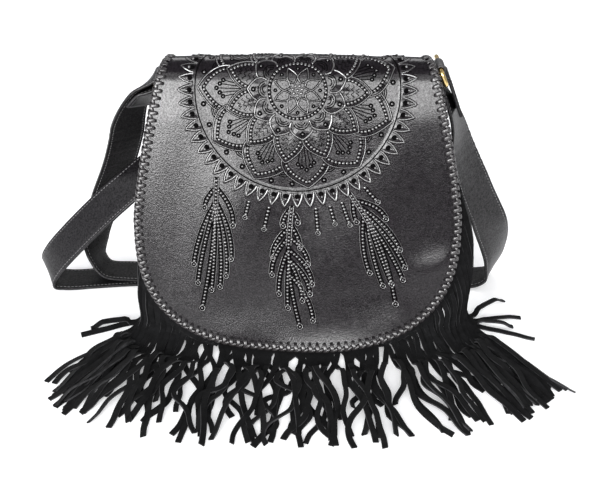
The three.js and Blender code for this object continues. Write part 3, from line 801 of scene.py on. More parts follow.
def bump(material, source, strength, depth, shader, under=None):
    """Fine relief on a shader, on top of an earlier bump node."""
    node = add_node(material, "ShaderNodeBump", source, "Height", Strength=strength, Distance=depth * MM)
    if under:
        link(material, under.outputs["Normal"], node.inputs["Normal"])
    link(material, node.outputs["Normal"], shader.inputs["Normal"])
    return node


def leather(name, dark, light, roughness, grain, depth, gloss):
    """Dyed leather: speckled colour and shine, pebble grain about 1/grain metres wide, uneven polish."""
    material, shader = new_material(name)
    speckle = texture(material, NOISE, grain, Detail=3, Roughness=0.6)
    ramp(material, speckle, COLOUR_STOPS, (dark, light), shader.inputs["Base Color"])
    shine = gloss * (1 - SHINE_SPREAD), gloss * (1 + SHINE_SPREAD)
    varied(material, speckle, *shine, shader.inputs["Specular IOR Level"])
    polish = texture(material, NOISE, POLISH_GRAIN, Detail=3)
    varied(material, polish, *[roughness + change for change in POLISH_SPREAD], shader.inputs["Roughness"])
    pebbles = texture(material, "ShaderNodeTexVoronoi", grain, "Distance", Randomness=1)
    coarse = bump(material, pebbles, PEBBLE_STRENGTH, depth, shader)
    pores = texture(material, NOISE, grain * PORE_GRAIN, Detail=2)
    bump(material, pores, PORE_STRENGTH, depth * PORE_DEPTH, shader, coarse)
    return material


def suede(name, dark, light):
    """Napped leather: matt, with a soft sheen and a short fibre relief."""
    material, shader = new_material(
        name, Sheen_Weight=0.03, Sheen_Roughness=0.5, Specular_IOR_Level=0.1, Roughness=0.86)
    nap = texture(material, NOISE, NAP_GRAIN, Detail=5, Roughness=0.7)
    ramp(material, nap, COLOUR_STOPS, (dark, light), shader.inputs["Base Color"])
    fibres = texture(material, NOISE, FIBRE_GRAIN, Detail=2)
    bump(material, fibres, strength=0.6, depth=0.25, shader=shader)
    return material


def thread(name, dark, light):
    """Waxed thread, with its twist as fine bands."""
    material, shader = new_material(name, Roughness=0.55)
    twist = texture(material, "ShaderNodeTexWave", scale=900, Distortion=2)
    ramp(material, twist, (0.2, 0.8), (dark, light), shader.inputs["Base Color"])
    bump(material, twist, strength=0.4, depth=0.15, shader=shader)
    return material


def brass(name, dark, light):
    """Polished brass with faint tarnish and hairline wear."""
    material, shader = new_material(name, Metallic=1)
    tarnish = texture(material, NOISE, scale=190, Detail=4)
    ramp(material, tarnish, (0.35, 0.65), (dark, light), shader.inputs["Base Color"])
    varied(material, tarnish, low=0.3, high=0.16, target=shader.inputs["Roughness"])
    wear = texture(material, NOISE, scale=2400, Detail=1)
    bump(material, wear, strength=0.15, depth=0.05, shader=shader)
    return material


TOOLED = leather(
    "tooled_leather", (0.0006, 0.0004, 0.0006), (0.0072, 0.005, 0.0071),
    roughness=0.175, grain=830, depth=0.085, gloss=0.37)
# Lighter than the tooled ground: burnished wear on the raised work, and a painted highlight that keeps the
# raised lines and beads bright
RAISED_WORN_AND_HIGHLIT = leather(
    "raised_leather_worn_and_highlit", (0.01, 0.0092, 0.0095), (0.031, 0.0288, 0.0296),
    roughness=0.15, grain=1800, depth=0.03, gloss=1.3)
# Near-black, matt: painted shade for the grooves, channels and punched hollows of the tooling
GROOVE_SHADE = leather(
    "pressed_groove_painted_shade", (0.0006, 0.0006, 0.0006), (0.0018, 0.0015, 0.0018),
    roughness=0.8, grain=900, depth=0.05, gloss=0.03)
PLAIN = leather(
    "plain_leather", (0.008, 0.007, 0.008), (0.016, 0.014, 0.015),
    roughness=0.36, grain=700, depth=0.1, gloss=0.5)
STRAP_LEATHER = leather(
    "strap_leather", (0.002, 0.0018, 0.0022), (0.009, 0.008, 0.0096),
    roughness=0.36, grain=620, depth=0.12, gloss=0.32)
STRAP_BACK = leather(
    "strap_back", (0.0015, 0.0014, 0.0016), (0.006, 0.0055, 0.0062),
    roughness=0.55, grain=620, depth=0.14, gloss=0.16)
LACE = leather(
    "lace_leather", (0.01, 0.009, 0.0095), (0.03, 0.027, 0.028),
    roughness=0.26, grain=1500, depth=0.05, gloss=0.65)
# Dark and matt: painted shade inside the punched lace holes
HOLE_SHADE = leather(
    "punched_hole_painted_shade", (0.002, 0.002, 0.002), (0.005, 0.004, 0.005),
    roughness=0.7, grain=900, depth=0.05, gloss=0.1)
SUEDE = suede("suede", (0.0012, 0.0012, 0.0014), (0.0045, 0.0045, 0.005))
# Lighter cut sides of the strips: raw leather and a painted edge highlight
RAW_EDGE_AND_HIGHLIGHT = suede("suede_raw_edge_and_highlight", (0.014, 0.014, 0.015), (0.04, 0.04, 0.042))
THREAD = thread("thread", (0.07, 0.068, 0.07), (0.2, 0.195, 0.2))
BRASS = brass("brass", (0.5, 0.36, 0.14), (0.83, 0.64, 0.3))


# Surfaces of the body and of the flap

def sweep(x):
    """How far the walls curve back at a distance x from the middle."""
    return EDGE_SWEEP * (x / FLAP_HALF_WIDTH) ** 2


def sweep_share(z):
    return lerp(1, FOLD_SWEEP_SHARE, smoothstep(z, SWEEP_FADES_FROM, SWEEP_FADES_TO))


def front_face(x, z):
    return BASE_FRONT + z * math.tan(FRONT_LEAN) + sweep(x) * sweep_share(z) / math.cos(FRONT_LEAN)


def back_face(x, z):
    return BASE_BACK + z * math.tan(BACK_LEAN) - sweep(x) * FOLD_SWEEP_SHARE / math.cos(BACK_LEAN)


def lower_edge(x, half_width, widest):
    """Length from the lowest point to a rounded lower edge at a distance x from the middle."""
    share = np.minimum(1, np.abs(x) / half_width)
    return widest * (1 - (1 - share ** CORNER_POWER) ** (1 / CORNER_POWER))


def body_lower_edge(x):
    return np.maximum(0, lower_edge(x, BODY_HALF_WIDTH, BODY_WIDEST + BASE_SINK) - BASE_SINK)


def body_half_width(z):
    rise = np.maximum(0, z - BODY_WIDEST) / (GUSSET_TOP - BODY_WIDEST)
    return lerp(BODY_HALF_WIDTH, BODY_TOP_HALF_WIDTH, rise ** TAPER_POWER)


FRONT_NORMAL = np.array([-math.cos(FRONT_LEAN), math.sin(FRONT_LEAN)])
BACK_NORMAL = np.array([math.cos(BACK_LEAN), -math.sin(BACK_LEAN)])
FRONT_LINE = -BASE_FRONT * math.cos(FRONT_LEAN) + FLAP_STANDOFF
BACK_LINE = BASE_BACK * math.cos(BACK_LEAN) + GAP + WALL / 2
FOLD_Y, FOLD_Z = np.linalg.solve(
    np.array([FRONT_NORMAL, BACK_NORMAL]), [FRONT_LINE - FOLD_RADIUS, BACK_LINE - FOLD_RADIUS])
FOLD_START = FOLD_Z + FOLD_RADIUS * FRONT_NORMAL[1]
FLAP_FRONT = (FOLD_START - FLAP_LOWER_EDGE) / math.cos(FRONT_LEAN)
FOLD_TURN = math.pi + BACK_LEAN - FRONT_LEAN
FOLD_LENGTH = FOLD_RADIUS * FOLD_TURN
FLAP_LENGTH = FLAP_FRONT + FOLD_LENGTH + FLAP_TAIL


def flap_half_width(length):
    rise = (length - FLAP_WIDEST) / (FLAP_FRONT + FOLD_LENGTH / 2 - FLAP_WIDEST)
    return lerp(FLAP_HALF_WIDTH, FLAP_TOP_HALF_WIDTH, np.clip(rise, 0, 1) ** TAPER_POWER)


def flap_lower_edge(x):
    return lower_edge(x, FLAP_HALF_WIDTH, FLAP_WIDEST)


def flap_slack(x, length):
    """How far the flap's soft leather stands off its straight form."""
    from_side = FLAP_HALF_WIDTH - np.abs(x)
    calm = smoothstep(from_side, *SLACK_FROM_SIDES) * smoothstep(length, *SLACK_FROM_LOWER_EDGE)
    calm = calm * smoothstep(FLAP_FRONT - length, *SLACK_FROM_FOLD)
    shoulder = smoothstep(length, FLAP_FRONT - SHOULDER_BELOW, FLAP_FRONT + SHOULDER_ABOVE)
    near_edge = np.clip(1 - (length - flap_lower_edge(x)) / LIP_DEPTH, 0, LIP_PAST_EDGE)
    middle = smoothstep(LIP_REACH - np.abs(x - LIP_MIDDLE), 0, LIP_REACH)
    lip = lerp(np.where(x < LIP_MIDDLE, LIP_LEFT, LIP_RIGHT), LIP, middle)
    flared = lip * smoothstep(from_side, *LIP_FROM_SIDES) * near_edge ** LIP_POWER
    bulge_x, bulge_length = x - BULGE_PLACE[0], length - BULGE_PLACE[1]
    along = bulge_x * math.cos(BULGE_TURN) + bulge_length * math.sin(BULGE_TURN)
    aside = bulge_length * math.cos(BULGE_TURN) - bulge_x * math.sin(BULGE_TURN)
    bulge = BULGE * np.exp(-(along / BULGE_REACH[0]) ** 2 - (aside / BULGE_REACH[1]) ** 2)
    bulge = bulge * smoothstep(from_side, *BULGE_FROM_SIDES)
    return SLACK * calm * soft_waves(x, length, FLAP_WAVES) - SHOULDER * shoulder + flared + bulge


def flap_point(x, length, lift):
    """Points over the flap: x across, length along it from its lower edge, lift from its middle."""
    x, length, lift = np.broadcast_arrays(np.asarray(x, float), length, lift)
    left = np.maximum(0, FLAP_FRONT - length)
    turned = np.clip((length - FLAP_FRONT) / FOLD_RADIUS, 0, FOLD_TURN)
    tail = np.maximum(0, length - FLAP_FRONT - FOLD_LENGTH)
    normal_y = -np.cos(FRONT_LEAN + turned)
    normal_z = np.sin(FRONT_LEAN + turned)
    y = FOLD_Y + FOLD_RADIUS * normal_y - left * math.sin(FRONT_LEAN) - tail * math.sin(BACK_LEAN)
    z = FOLD_Z + FOLD_RADIUS * normal_z - left * math.cos(FRONT_LEAN) - tail * math.cos(BACK_LEAN)
    share = lerp(1, FOLD_SWEEP_SHARE, np.clip(length / FLAP_FRONT, 0, 1))
    out = lift + flap_slack(x, length) - sweep(x) * share
    return np.stack([x, y + normal_y * out, z + normal_z * out], -1)


# Tooling, laid out flat: x across, length along the flap, lift from its face

def petal_angle(kind, number):
    return math.radians(PETAL_TURN + 360 / PETAL_COUNT * (number + PETALS[kind]["shift"]))


def petal_half_width(kind, r, inset=0.0):
    """Half width of a petal at a distance r from the mandala's middle, 0 outside it."""
    petal = PETALS[kind]
    widest = petal["widest"]
    tip = petal["tip"] - PETAL_TIP_INSET * inset
    u = (r - petal["foot"]) / (tip - petal["foot"])
    below = PETAL_FOOT_LOSS * ((widest - u) / widest) ** 2
    above = ((u - widest) / (1 - widest)) ** 2
    width = (petal["half"] - inset) * (1 - np.where(u < widest, below, above))
    return np.where((u >= 0) & (u <= 1), width, 0)


def leaf_half_width(r):
    u = np.clip((r - LEAF_FOOT) / (LEAF_TIP - LEAF_FOOT), 0, 1)
    return LEAF_HALF * (1 - u ** 2)


def to_flap(angle, r, across):
    """Flat places from a petal's own axes: r along its axis, across to its side."""
    x = r * np.sin(angle) + across * np.cos(angle)
    length = MANDALA_LENGTH - r * np.cos(angle) + across * np.sin(angle)
    return np.stack(np.broadcast_arrays(x, length), -1)


def from_flap(angle, x, length):
    """A petal's own axes from flat places."""
    rise = length - MANDALA_LENGTH
    r = x * math.sin(angle) - rise * math.cos(angle)
    across = x * math.cos(angle) + rise * math.sin(angle)
    return r, across


def outline_of(angle, r, half):
    """The outline of a petal from one side of its foot over the tip to the other."""
    both = np.concatenate([r, r[-2::-1]])
    return to_flap(angle, both, np.concatenate([-half, half[-2::-1]]))


def petal_path(kind, number, inset=0.0):
    petal = PETALS[kind]
    r = np.linspace(petal["foot"], petal["tip"] - PETAL_TIP_INSET * inset, PETAL_STEPS)
    return outline_of(petal_angle(kind, number), r, petal_half_width(kind, r, inset))


def cover(kind, number, x, length):
    """1 inside a petal and 0 outside it, with a soft step at its outline."""
    r, across = from_flap(petal_angle(kind, number), x, length)
    return smoothstep(petal_half_width(kind, r) - np.abs(across), *PETAL_RISE)


def tooling_relief(x, length):
    """Broad height of the tooling over the leather's face."""
    rise = length - MANDALA_LENGTH
    r = np.hypot(x, rise)
    height = MIDDLE_LIFT * smoothstep(MIDDLE_RADIUS - r, -1, 1)
    height = height - GROUND_SINK * smoothstep(MANDALA_RADIUS - r, 0, 1)
    for kind, petal in PETALS.items():
        layer = np.max([cover(kind, k, x, length) for k in range(PETAL_COUNT)], axis=0)
        height = height + petal["lift"] * layer
    pitch = 2 * math.pi / LEAF_COUNT
    turn = np.arctan2(x, -rise)
    across = (np.mod(turn + pitch / 2, pitch) - pitch / 2) * r
    half = np.maximum(leaf_half_width(r), LEAF_LEAST_HALF)
    rounded = np.clip(1 - (across / half) ** 2, 0, 1)
    return height + LEAF_LIFT * np.where((r > LEAF_FOOT) & (r < LEAF_TIP), rounded, 0)


LINE_KINDS = [1, 1, 0, 0, 0, 1, 1, 1]  # the grooves beside a raised line are dark with painted shade


def line_section(width, height, skirt):
    """Section of a raised line between two dark grooves of painted shade."""
    foot = width / 2 + skirt
    half = [(foot, -SUNK), (foot, FLUSH), (width / 2, FLUSH), (width / 4, height)]
    return np.array([*half, *[(-across, lift) for across, lift in half[::-1]]])


def pressed(shape, path, section, kinds, closed=False):
    """A section carried along a flat path."""
    path = np.asarray(path, float)
    side = -right_of(directions(path, closed))
    flat = path[:, None, :] + side[:, None, :] * section[None, :, 0:1]
    lift = np.broadcast_to(section[:, 1], flat.shape[:2])
    shape.loft(np.concatenate([flat, lift[..., None]], -1), closed, kinds)


def ridge(shape, path, line, closed=False):
    """A raised line along a flat path, with a groove on each side."""
    pressed(shape, path, line_section(*LINES[line]), LINE_KINDS, closed)


def groove(shape, path, channel):
    """A dark channel along a flat path: a strip of painted shade just over the face, standing for a pressed
    groove.
    """
    half = GROOVES[channel] / 2
    section = np.array([(half, -SUNK), (half, FLUSH), (-half, FLUSH), (-half, -SUNK)])
    pressed(shape, path, section, [1] * len(section))


def domes(shape, places, radius, height, kind=0):
    """Round domes at flat places."""
    places = np.asarray(places, float).reshape(-1, 2)
    if len(places):
        centres = np.column_stack([places, np.zeros(len(places))])
        shape.copies(BEAD, centres, *np.diag([radius, radius, height]), kind)


def beads(shape, places, bead):
    domes(shape, places, *BEADS[bead])


def ring_dot(shape, place, radius):
    """A punched ring with a dot in it, on a dark disc of painted shade."""
    domes(shape, place, radius + RING_DOT_MARGIN, SHADE_DISC_HEIGHT, 1)
    ridge(shape, place + circle(RING_DOT_SIDES) * radius, "ring", closed=True)
    domes(shape, place, radius * RING_DOT_SHARE, RING_DOT_HEIGHT)


def stud(shape, place, radius):
    """A punched ring round a bead, drawn as a dark disc of painted shade."""
    domes(shape, place, radius + STUD_MARGIN, SHADE_DISC_HEIGHT, 1)
    domes(shape, place, radius * STUD_SHARE, STUD_HEIGHT)


def mandala_stud(shape, angle, r, radius):
    stud(shape, to_flap(angle, r, 0.0), radius)


def hidden_by(places, petals):
    """Which places lie under any of the given petals, named by kind and number."""
    hidden = np.zeros(len(places), bool)
    for kind, number in petals:
        r, across = from_flap(petal_angle(kind, number), places[:, 0], places[:, 1])
        hidden |= np.abs(across) < petal_half_width(kind, r)
    return hidden | (places[:, 1] > FLAP_LENGTH - TAIL_MARGIN)


def visible_runs(path, petals, hidden=False):
    """The stretches of a path that no petal hides, and that aren't hidden otherwise."""
    runs = []
    start = None
    for i, covered in enumerate([*(hidden | hidden_by(path, petals)), True]):
        if not covered and start is None:
            start = i
        if covered and start is not None:
            if i - start >= SHORTEST_RUN:
                runs.append(path[start:i])
            start = None
    return runs


def bordered_petal(shape, kind, number, over):
    """A petal's outline and its row of beads in a dark channel of painted shade, where nothing covers them.
    """
    border = petal_path(kind, number, PETALS[kind]["border"])
    for run in visible_runs(spaced(border, TOOLING_STEP), over):
        groove(shape, run, "border")
    for run in visible_runs(spaced(petal_path(kind, number), TOOLING_STEP), over):
        ridge(shape, run, "petal")
    row = spaced(border, BEAD_PITCH)
    beads(shape, row[~hidden_by(row, over)], "border")


def pins(shape, number):
    """A fan of five pins in an outer petal, with a stud at each head."""
    over = [("inner", number), ("inner", number - 1)]
    for j in range(-2, 3):
        r = np.linspace(PIN_FOOT, PIN_HEAD - PIN_STEP * abs(j), PIN_STEPS)
        across = lerp(*PIN_SPREAD, (r - PIN_FOOT) / PIN_FAN) * j
        stem = to_flap(petal_angle("outer", number), r, across)
        for run in visible_runs(stem, over):
            groove(shape, run, "pin")
        stud(shape, 2 * stem[-1] - stem[-2], PIN_STUD)


def waves(shape, number):
    """Wavy lines across an inner petal."""
    for r in WAVES_AT:
        half = float(petal_half_width("inner", np.array(r), WAVES_INSET))
        across = np.linspace(-half, half, WAVES_STEPS)
        rise = WAVES_HEIGHT * np.cos(across / half * WAVES_TURN)
        path = to_flap(petal_angle("inner", number), r + rise, across)
        for run in visible_runs(path, [("lobe", number), ("lobe", number + 1)]):
            groove(shape, run, "wave")


def arcs(shape, angle, r, radii, reach):
    """Nested arcs that bulge outwards."""
    turn = np.linspace(-reach, reach, ARC_STEPS)
    for radius in radii:
        groove(shape, to_flap(angle, r + radius * np.cos(turn), radius * np.sin(turn)), "arc")


def rosette(shape):
    """The middle: a rosette of beads in an eight-petalled star, inside a ring of beads."""
    def around(count, r):
        return to_flap(np.arange(count) / count * 2 * math.pi, r, 0.0)

    beads(shape, around(1, 0), "middle")
    beads(shape, around(ROSETTE_BEADS, ROSETTE_RADIUS), "rosette")
    u = np.linspace(0, 1, STAR_STEPS)
    opening = np.sin(math.pi / 2 * u / STAR_WIDEST)
    closing = 1 - np.clip((u - STAR_WIDEST) / (1 - STAR_WIDEST), 0, 1) ** STAR_POWER
    half = STAR_HALF * np.where(u < STAR_WIDEST, opening, closing)
    for k in range(STAR_PETALS):
        angle = (k + 0.5) / STAR_PETALS * 2 * math.pi
        ridge(shape, outline_of(angle, lerp(STAR_FOOT, STAR_TIP, u), half), "star")
        beads(shape, to_flap(angle, np.array(STAR_BEADS_AT), 0.0), "star")
        mandala_stud(shape, angle + math.pi / STAR_PETALS, *STAR_STUD)
    groove(shape, spaced(around(ROSETTE_STEPS, BEAD_CIRCLE_RADIUS), TOOLING_STEP), "rosette")
    beads(shape, around(BEAD_CIRCLE_COUNT, BEAD_CIRCLE_RADIUS), "circle")


def leaf(shape, angle):
    """A leaf outside the mandala's circle, with a bead over its dark eye of painted shade."""
    r = np.linspace(LEAF_FOOT, LEAF_TIP, LEAF_STEPS)
    path = outline_of(angle, r, leaf_half_width(r))
    if path[:, 1].max() < FLAP_LENGTH - TAIL_MARGIN:
        ridge(shape, path, "leaf")
        domes(shape, to_flap(angle, LEAF_FOOT + LEAF_EYE, 0.0), *LEAF_EYE_SIZE, 1)
        beads(shape, to_flap(angle, LEAF_FOOT + LEAF_BEAD, LEAF_BEAD_ASIDE), "leaf")


def mandala(shape):
    """The rosette, three rings of petals, the circle round them and its leaves."""
    rosette(shape)
    for k in range(PETAL_COUNT):
        lobe_angle, inner_angle = petal_angle("lobe", k), petal_angle("inner", k)
        bordered_petal(shape, "inner", k, [("lobe", k), ("lobe", k + 1), ("inner", k + 1)])
        bordered_petal(shape, "outer", k, [("inner", k), ("inner", k - 1), ("lobe", k), ("outer", k + 1)])
        pins(shape, k)
        waves(shape, k)
        lobe = spaced(petal_path("lobe", k), TOOLING_STEP)
        near = np.hypot(lobe[:, 0], lobe[:, 1] - MANDALA_LENGTH) < LOBES_HIDDEN_TO
        for run in visible_runs(lobe, [("lobe", k + 1)], near):
            ridge(shape, run, "lobe")
        arcs(shape, lobe_angle, *LOBE_ARCS)
        mandala_stud(shape, lobe_angle, *LOBE_STUD)
        arcs(shape, inner_angle, *GAP_ARCS)
        for turn in (-RIM_STUD_TURN, RIM_STUD_TURN):
            mandala_stud(shape, inner_angle + turn, *RIM_STUD)
    turn = np.linspace(0, 2 * math.pi, CIRCLE_STEPS)
    groove(shape, to_flap(turn, MANDALA_RADIUS + CIRCLE_MARGIN, 0.0), "circle")
    for k in range(LEAF_COUNT):
        leaf(shape, 2 * math.pi * k / LEAF_COUNT)


def bead_string(shape, curve, ring):
    """A row of beads in a dark channel of painted shade that ends in a ring."""
    groove(shape, spaced(curve, STRING_STEP), "string")
    beads(shape, spaced(curve, BEAD_PITCH)[1:-1], "string")
    ring_dot(shape, curve[-1], ring)


def feather(shape, top, tip, bow, strings):
    """A bowed quill of beads, and the strings of beads that leave it, each with a fine line beside it."""
    top, tip = np.array(top), np.array(tip)
    t = np.linspace(0, 1, FEATHER_STEPS)[:, None]
    flow = unit(tip - top)
    side = np.array([flow[1], -flow[0]])
    quill = lerp(top, tip, t) + side * bow * np.sin(math.pi * t)
    bead_string(shape, quill, FEATHER_RING)
    for share, *end in strings:
        root = quill[int(share * (FEATHER_STEPS - 1))]
        reach = end - root
        turn = end - flow * np.linalg.norm(reach) * STRING_PULL
        curve = root * (1 - t) ** 2 + 2 * turn * t * (1 - t) + end * t ** 2
        bead_string(shape, curve, STRING_RING)
        aside = math.copysign(BARB_ASIDE, flow[0] * reach[1] - flow[1] * reach[0])
        barb = curve - right_of(directions(curve)) * aside
        ridge(shape, spaced(barb[BARB_FROM:], STRING_STEP), "barb")
    for shift in (-1, 1):
        beside = quill + side * shift * lerp(*QUILL_LINE_ASIDE, t)
        ridge(shape, spaced(beside[:QUILL_LINE_STEPS], STRING_STEP), "quill")


def on_flap(shape):
    """A flat shape's points, carried to the flap's face."""
    x, length, lift = shape.all_points().T
    return flap_point(x, length, WALL / 2 + tooling_relief(x, length) + lift)


def add_tooling():
    circle_field = Shape()
    mandala(circle_field)
    hanging = Shape()
    for row in FEATHERS:
        feather(hanging, **row)
    for top, end in DROPS:
        string = spaced([top, end], BEAD_PITCH)
        groove(hanging, string, "drop")
        beads(hanging, string[:-1], "drop")
        ring_dot(hanging, string[-1], DROP_RING)
    # Raised work takes the lighter leather with its painted highlight; channels and discs take the dark
    # leather of painted shade
    for name, shape in (("flap_mandala", circle_field), ("flap_feathers", hanging)):
        add_piece(name, shape, [RAISED_WORN_AND_HIGHLIT, GROOVE_SHADE], points=on_flap(shape))


# Flap sheet: a fine outer face with the tooling's relief, a coarse inner face and a rim

def sheet_places(columns, widest, lower_edge_at, lower_rows, half_width_at, upper):
    """Places of a sheet's rows and columns: rows that level out from its rounded lower edge up to its
    widest level, and level rows above."""
    x = columns * half_width_at(widest)
    lower = lerp(lower_edge_at(x)[None], widest, np.linspace(0, 1, lower_rows + 1)[:, None])
    x_upper = half_width_at(upper)[:, None] * columns[None]
    x_all = np.concatenate([np.broadcast_to(x, lower.shape), x_upper])
    return x_all, np.concatenate([lower, np.broadcast_to(upper[:, None], x_upper.shape)])


def edge_places(x, lower_edge_at, half_width_at, side):
    """A sheet's edge from one upper end round the lower edge to the other, from places x along the lower
    edge and heights up its side."""
    half = np.concatenate([
        np.stack([x, lower_edge_at(x)], -1),
        np.stack([half_width_at(side), side], -1),
    ])
    return np.concatenate([half[:0:-1] * [-1, 1], half])


def flap_grid():
    t = np.linspace(0, 1, FLAP_COLUMNS + 1)
    closing_up = np.sin((t - 0.5) * math.pi)
    columns = lerp(closing_up, 2 * t - 1, FLAP_EVENNESS)
    upper = np.concatenate([
        np.linspace(FLAP_WIDEST, FLAP_FRONT, FLAP_FRONT_ROWS + 1)[1:],
        FLAP_FRONT + np.linspace(0, FOLD_LENGTH, FLAP_FOLD_ROWS + 1)[1:],
        FLAP_FRONT + FOLD_LENGTH + np.linspace(0, FLAP_TAIL, FLAP_TAIL_ROWS + 1)[1:],
    ])
    return sheet_places(columns, FLAP_WIDEST, flap_lower_edge, FLAP_LOWER_ROWS, flap_half_width, upper)


def add_flap():
    x, length = flap_grid()
    rows, columns = x.shape
    outer = flap_point(x, length, WALL / 2 + tooling_relief(x, length))
    inner = flap_point(x[::COARSE, ::COARSE], length[::COARSE, ::COARSE], -WALL / 2)
    shape = Shape()
    shape.add(outer, grid_faces(rows, columns))
    start = shape.count
    coarse_rows, coarse_columns = inner.shape[:2]
    shape.add(inner, grid_faces(coarse_rows, coarse_columns)[:, ::-1])
    fine = grid_edge(rows, columns)
    coarse = grid_edge(coarse_rows, coarse_columns) + start
    for i, corner in enumerate(coarse):
        stretch = [int(fine[(i * COARSE + k) % len(fine)]) for k in range(COARSE, -1, -1)]
        shape.faces.append([*stretch, int(corner), int(coarse[(i + 1) % len(coarse)])])
        shape.kinds.append(0)
    add_piece("flap_leather", shape, [TOOLED], ["flap"])


# Lacing

def flap_outline():
    """The flap's edge from one end of the fold round the lower edge to the other, at even steps,
    with the direction out of the leather."""
    x = np.sin(np.linspace(0, math.pi / 2, FLAP_EDGE_STEPS)) * FLAP_HALF_WIDTH
    side = np.linspace(FLAP_WIDEST, FLAP_FRONT + FOLD_LENGTH, FLAP_SIDE_STEPS)[1:]
    path = spaced(edge_places(x, flap_lower_edge, flap_half_width, side), 1)
    return path, right_of(directions(path))


def rounded_section(sides, power):
    """A strip's section with round edges, one unit wide and one unit thick."""
    around = circle(sides)
    return 0.5 * np.sign(around) * np.abs(around) ** (2 / power)


ROUNDED = rounded_section(sides=10, power=3)
TAB_SECTION = rounded_section(sides=14, power=5)
FLAT_EDGED = 0.5 * np.array([(1, -1), (1, 1), (0, 1), (-1, 1), (-1, -1), (0, -1)])
FLAT_EDGED_KINDS = [1, 0, 0, 1, 0, 0]  # the cut sides show raw leather, lighter also as a painted edge highlight


def ribbon(shape, centres, across, width, thickness, section=ROUNDED, kinds=None):
    """A flat strip along centres. across is the wanted direction over its width; the directions across
    and through the strip are returned."""
    along = directions(centres)
    across = unit(across - along * np.sum(across * along, axis=-1, keepdims=True))
    through = np.cross(along, across)
    sections = (centres[:, None, :]
                + across[:, None, :] * section[None, :, 0:1] * width
                + through[:, None, :] * section[None, :, 1:2] * thickness)
    shape.loft(sections, kinds=kinds)
    return across, through


def add_lacing():
    """Each stitch comes out of its hole, crosses the edge and goes into the hole behind. A second strand
    crosses it on the edge, so that the edge reads as a braid."""
    path, out = flap_outline()
    place = lengths_along(path)
    count = int(place[-1] / LACE_PITCH)

    def on_edge(at, outward, lift):
        """Places beside the edge: a distance along it, out of it, and a lift."""
        at = np.clip(at, 0, place[-1])
        flat = [np.interp(at, place, path[:, i]) + outward * np.interp(at, place, out[:, i]) for i in (0, 1)]
        return flap_point(*flat, lift)

    hole_length, hole_width, hole_height = LACE_HOLE_SIZE
    laces = Shape()
    holes = Shape()
    for k in range(count):
        at = (k + 0.5) * place[-1] / count
        uneven = 1 + LACE_UNEVEN * spread(k, FOR_LACE)
        for way, slant, wide in LACE_STRANDS if 0 < k < count - 1 else LACE_STRANDS[:1]:
            share, outward, lift = smooth_curve(way, LACE_STEPS).T
            beside = at + share * slant * LACE_PITCH
            centres = on_edge(beside, outward * uneven, lift)
            ahead = on_edge(beside + LACE_AHEAD, outward * uneven, lift)
            ribbon(laces, centres, ahead - centres, LACE_WIDTH * wide, LACE_THICKNESS)
        # The holes are dark flat beads just over both faces: painted shade, with no hole cut in the leather
        hole_at = at - LACE_HOLE_BACK * LACE_PITCH
        for facing in (1, -1):
            middle = on_edge(hole_at, -LACE_HOLE_INSET, facing * (WALL / 2 + LACE_HOLE_LIFT))[None]
            along = unit(on_edge(hole_at + 1, -LACE_HOLE_INSET, facing * WALL / 2) - middle)
            up = unit(on_edge(hole_at, -LACE_HOLE_INSET, facing * WALL) - middle)
            side = np.cross(up, along)
            holes.copies(BEAD, middle, along * hole_length, side * hole_width, up * hole_height)
    add_piece("flap_lace", laces, [LACE], ["flap_lacing"])
    add_piece("flap_lace_hole_shade", holes, [HOLE_SHADE])


# Body: two panels and the strip between them, slack from use

def panel_sag(x, z, deep):
    """How far a panel hangs in soft folds: nothing at its seams and near the top."""
    held = np.clip(1 - (np.abs(x) / body_half_width(z)) ** 2, 0, 1)
    held = held * smoothstep(z, *SAG_FROM) * (1 - smoothstep(z, *SAG_TO))
    return deep * held * (SAG_MEAN + SAG_FOLDS * soft_waves(x, z, PANEL_WAVES))


def add_panel(name, top, face, wall, deep, faces_front):
    columns = np.sin((np.linspace(0, 1, PANEL_COLUMNS + 1) - 0.5) * math.pi)
    upper = np.linspace(BODY_WIDEST, top, PANEL_UPPER_ROWS + 1)[1:]
    x, z = sheet_places(columns, BODY_WIDEST, body_lower_edge, PANEL_LOWER_ROWS, body_half_width, upper)
    outwards = -1 if faces_front else 1
    y = face(x, z) + outwards * panel_sag(x, z, deep)
    outer = np.stack([x, y, z], -1)
    inner = np.stack([x, y - outwards * wall, z], -1)
    shape = Shape()
    shape.wall(*((outer, inner) if faces_front else (inner, outer)))
    add_piece(f"{name}_leather", shape, [PLAIN], [name])


def body_outline(top, corner_steps, side_steps):
    """The body's outline from one top over the base to the other: places (x, z) and the direction
    out of the body."""
    turn = np.sin(np.linspace(0, math.pi / 2, corner_steps + 1)) ** (2 / CORNER_POWER)
    z = np.linspace(BODY_WIDEST, top, side_steps + 1)[1:]
    path = edge_places(BODY_HALF_WIDTH * turn, body_lower_edge, body_half_width, z)
    out = right_of(directions(path))
    out[path[:, 1] == 0] = (0, -1)
    return path, out


def on_face(places, face, lift=0):
    """Points on a panel's face at places (x, z), lifted along Y."""
    x, z = places.T
    return np.column_stack([x, face(x, z) + lift, z])


def add_gusset():
    path, out = body_outline(GUSSET_TOP, corner_steps=40, side_steps=36)
    depth = np.linspace(0, 1, GUSSET_COLUMNS + 1)
    height = path[:, 1]
    dip = GUSSET_DIP * smoothstep(height, *GUSSET_DIP_FROM) * (1 - smoothstep(height, *GUSSET_DIP_TO))
    fold = dip[:, None] * np.sin(math.pi * depth[None]) ** 2

    def layer(inset):
        x, z = (path - out * inset).T
        front = front_face(x, z) + WALL / math.cos(FRONT_LEAN) + GAP
        back = back_face(x, z) - WALL / math.cos(BACK_LEAN) - GAP
        return np.stack([
            x[:, None] - out[:, 0:1] * fold,
            lerp(front[:, None], back[:, None], depth[None]),
            z[:, None] - out[:, 1:2] * fold,
        ], -1)

    shape = Shape()
    shape.wall(layer(0), layer(WALL))
    add_piece("gusset_leather", shape, [PLAIN], ["gusset"])


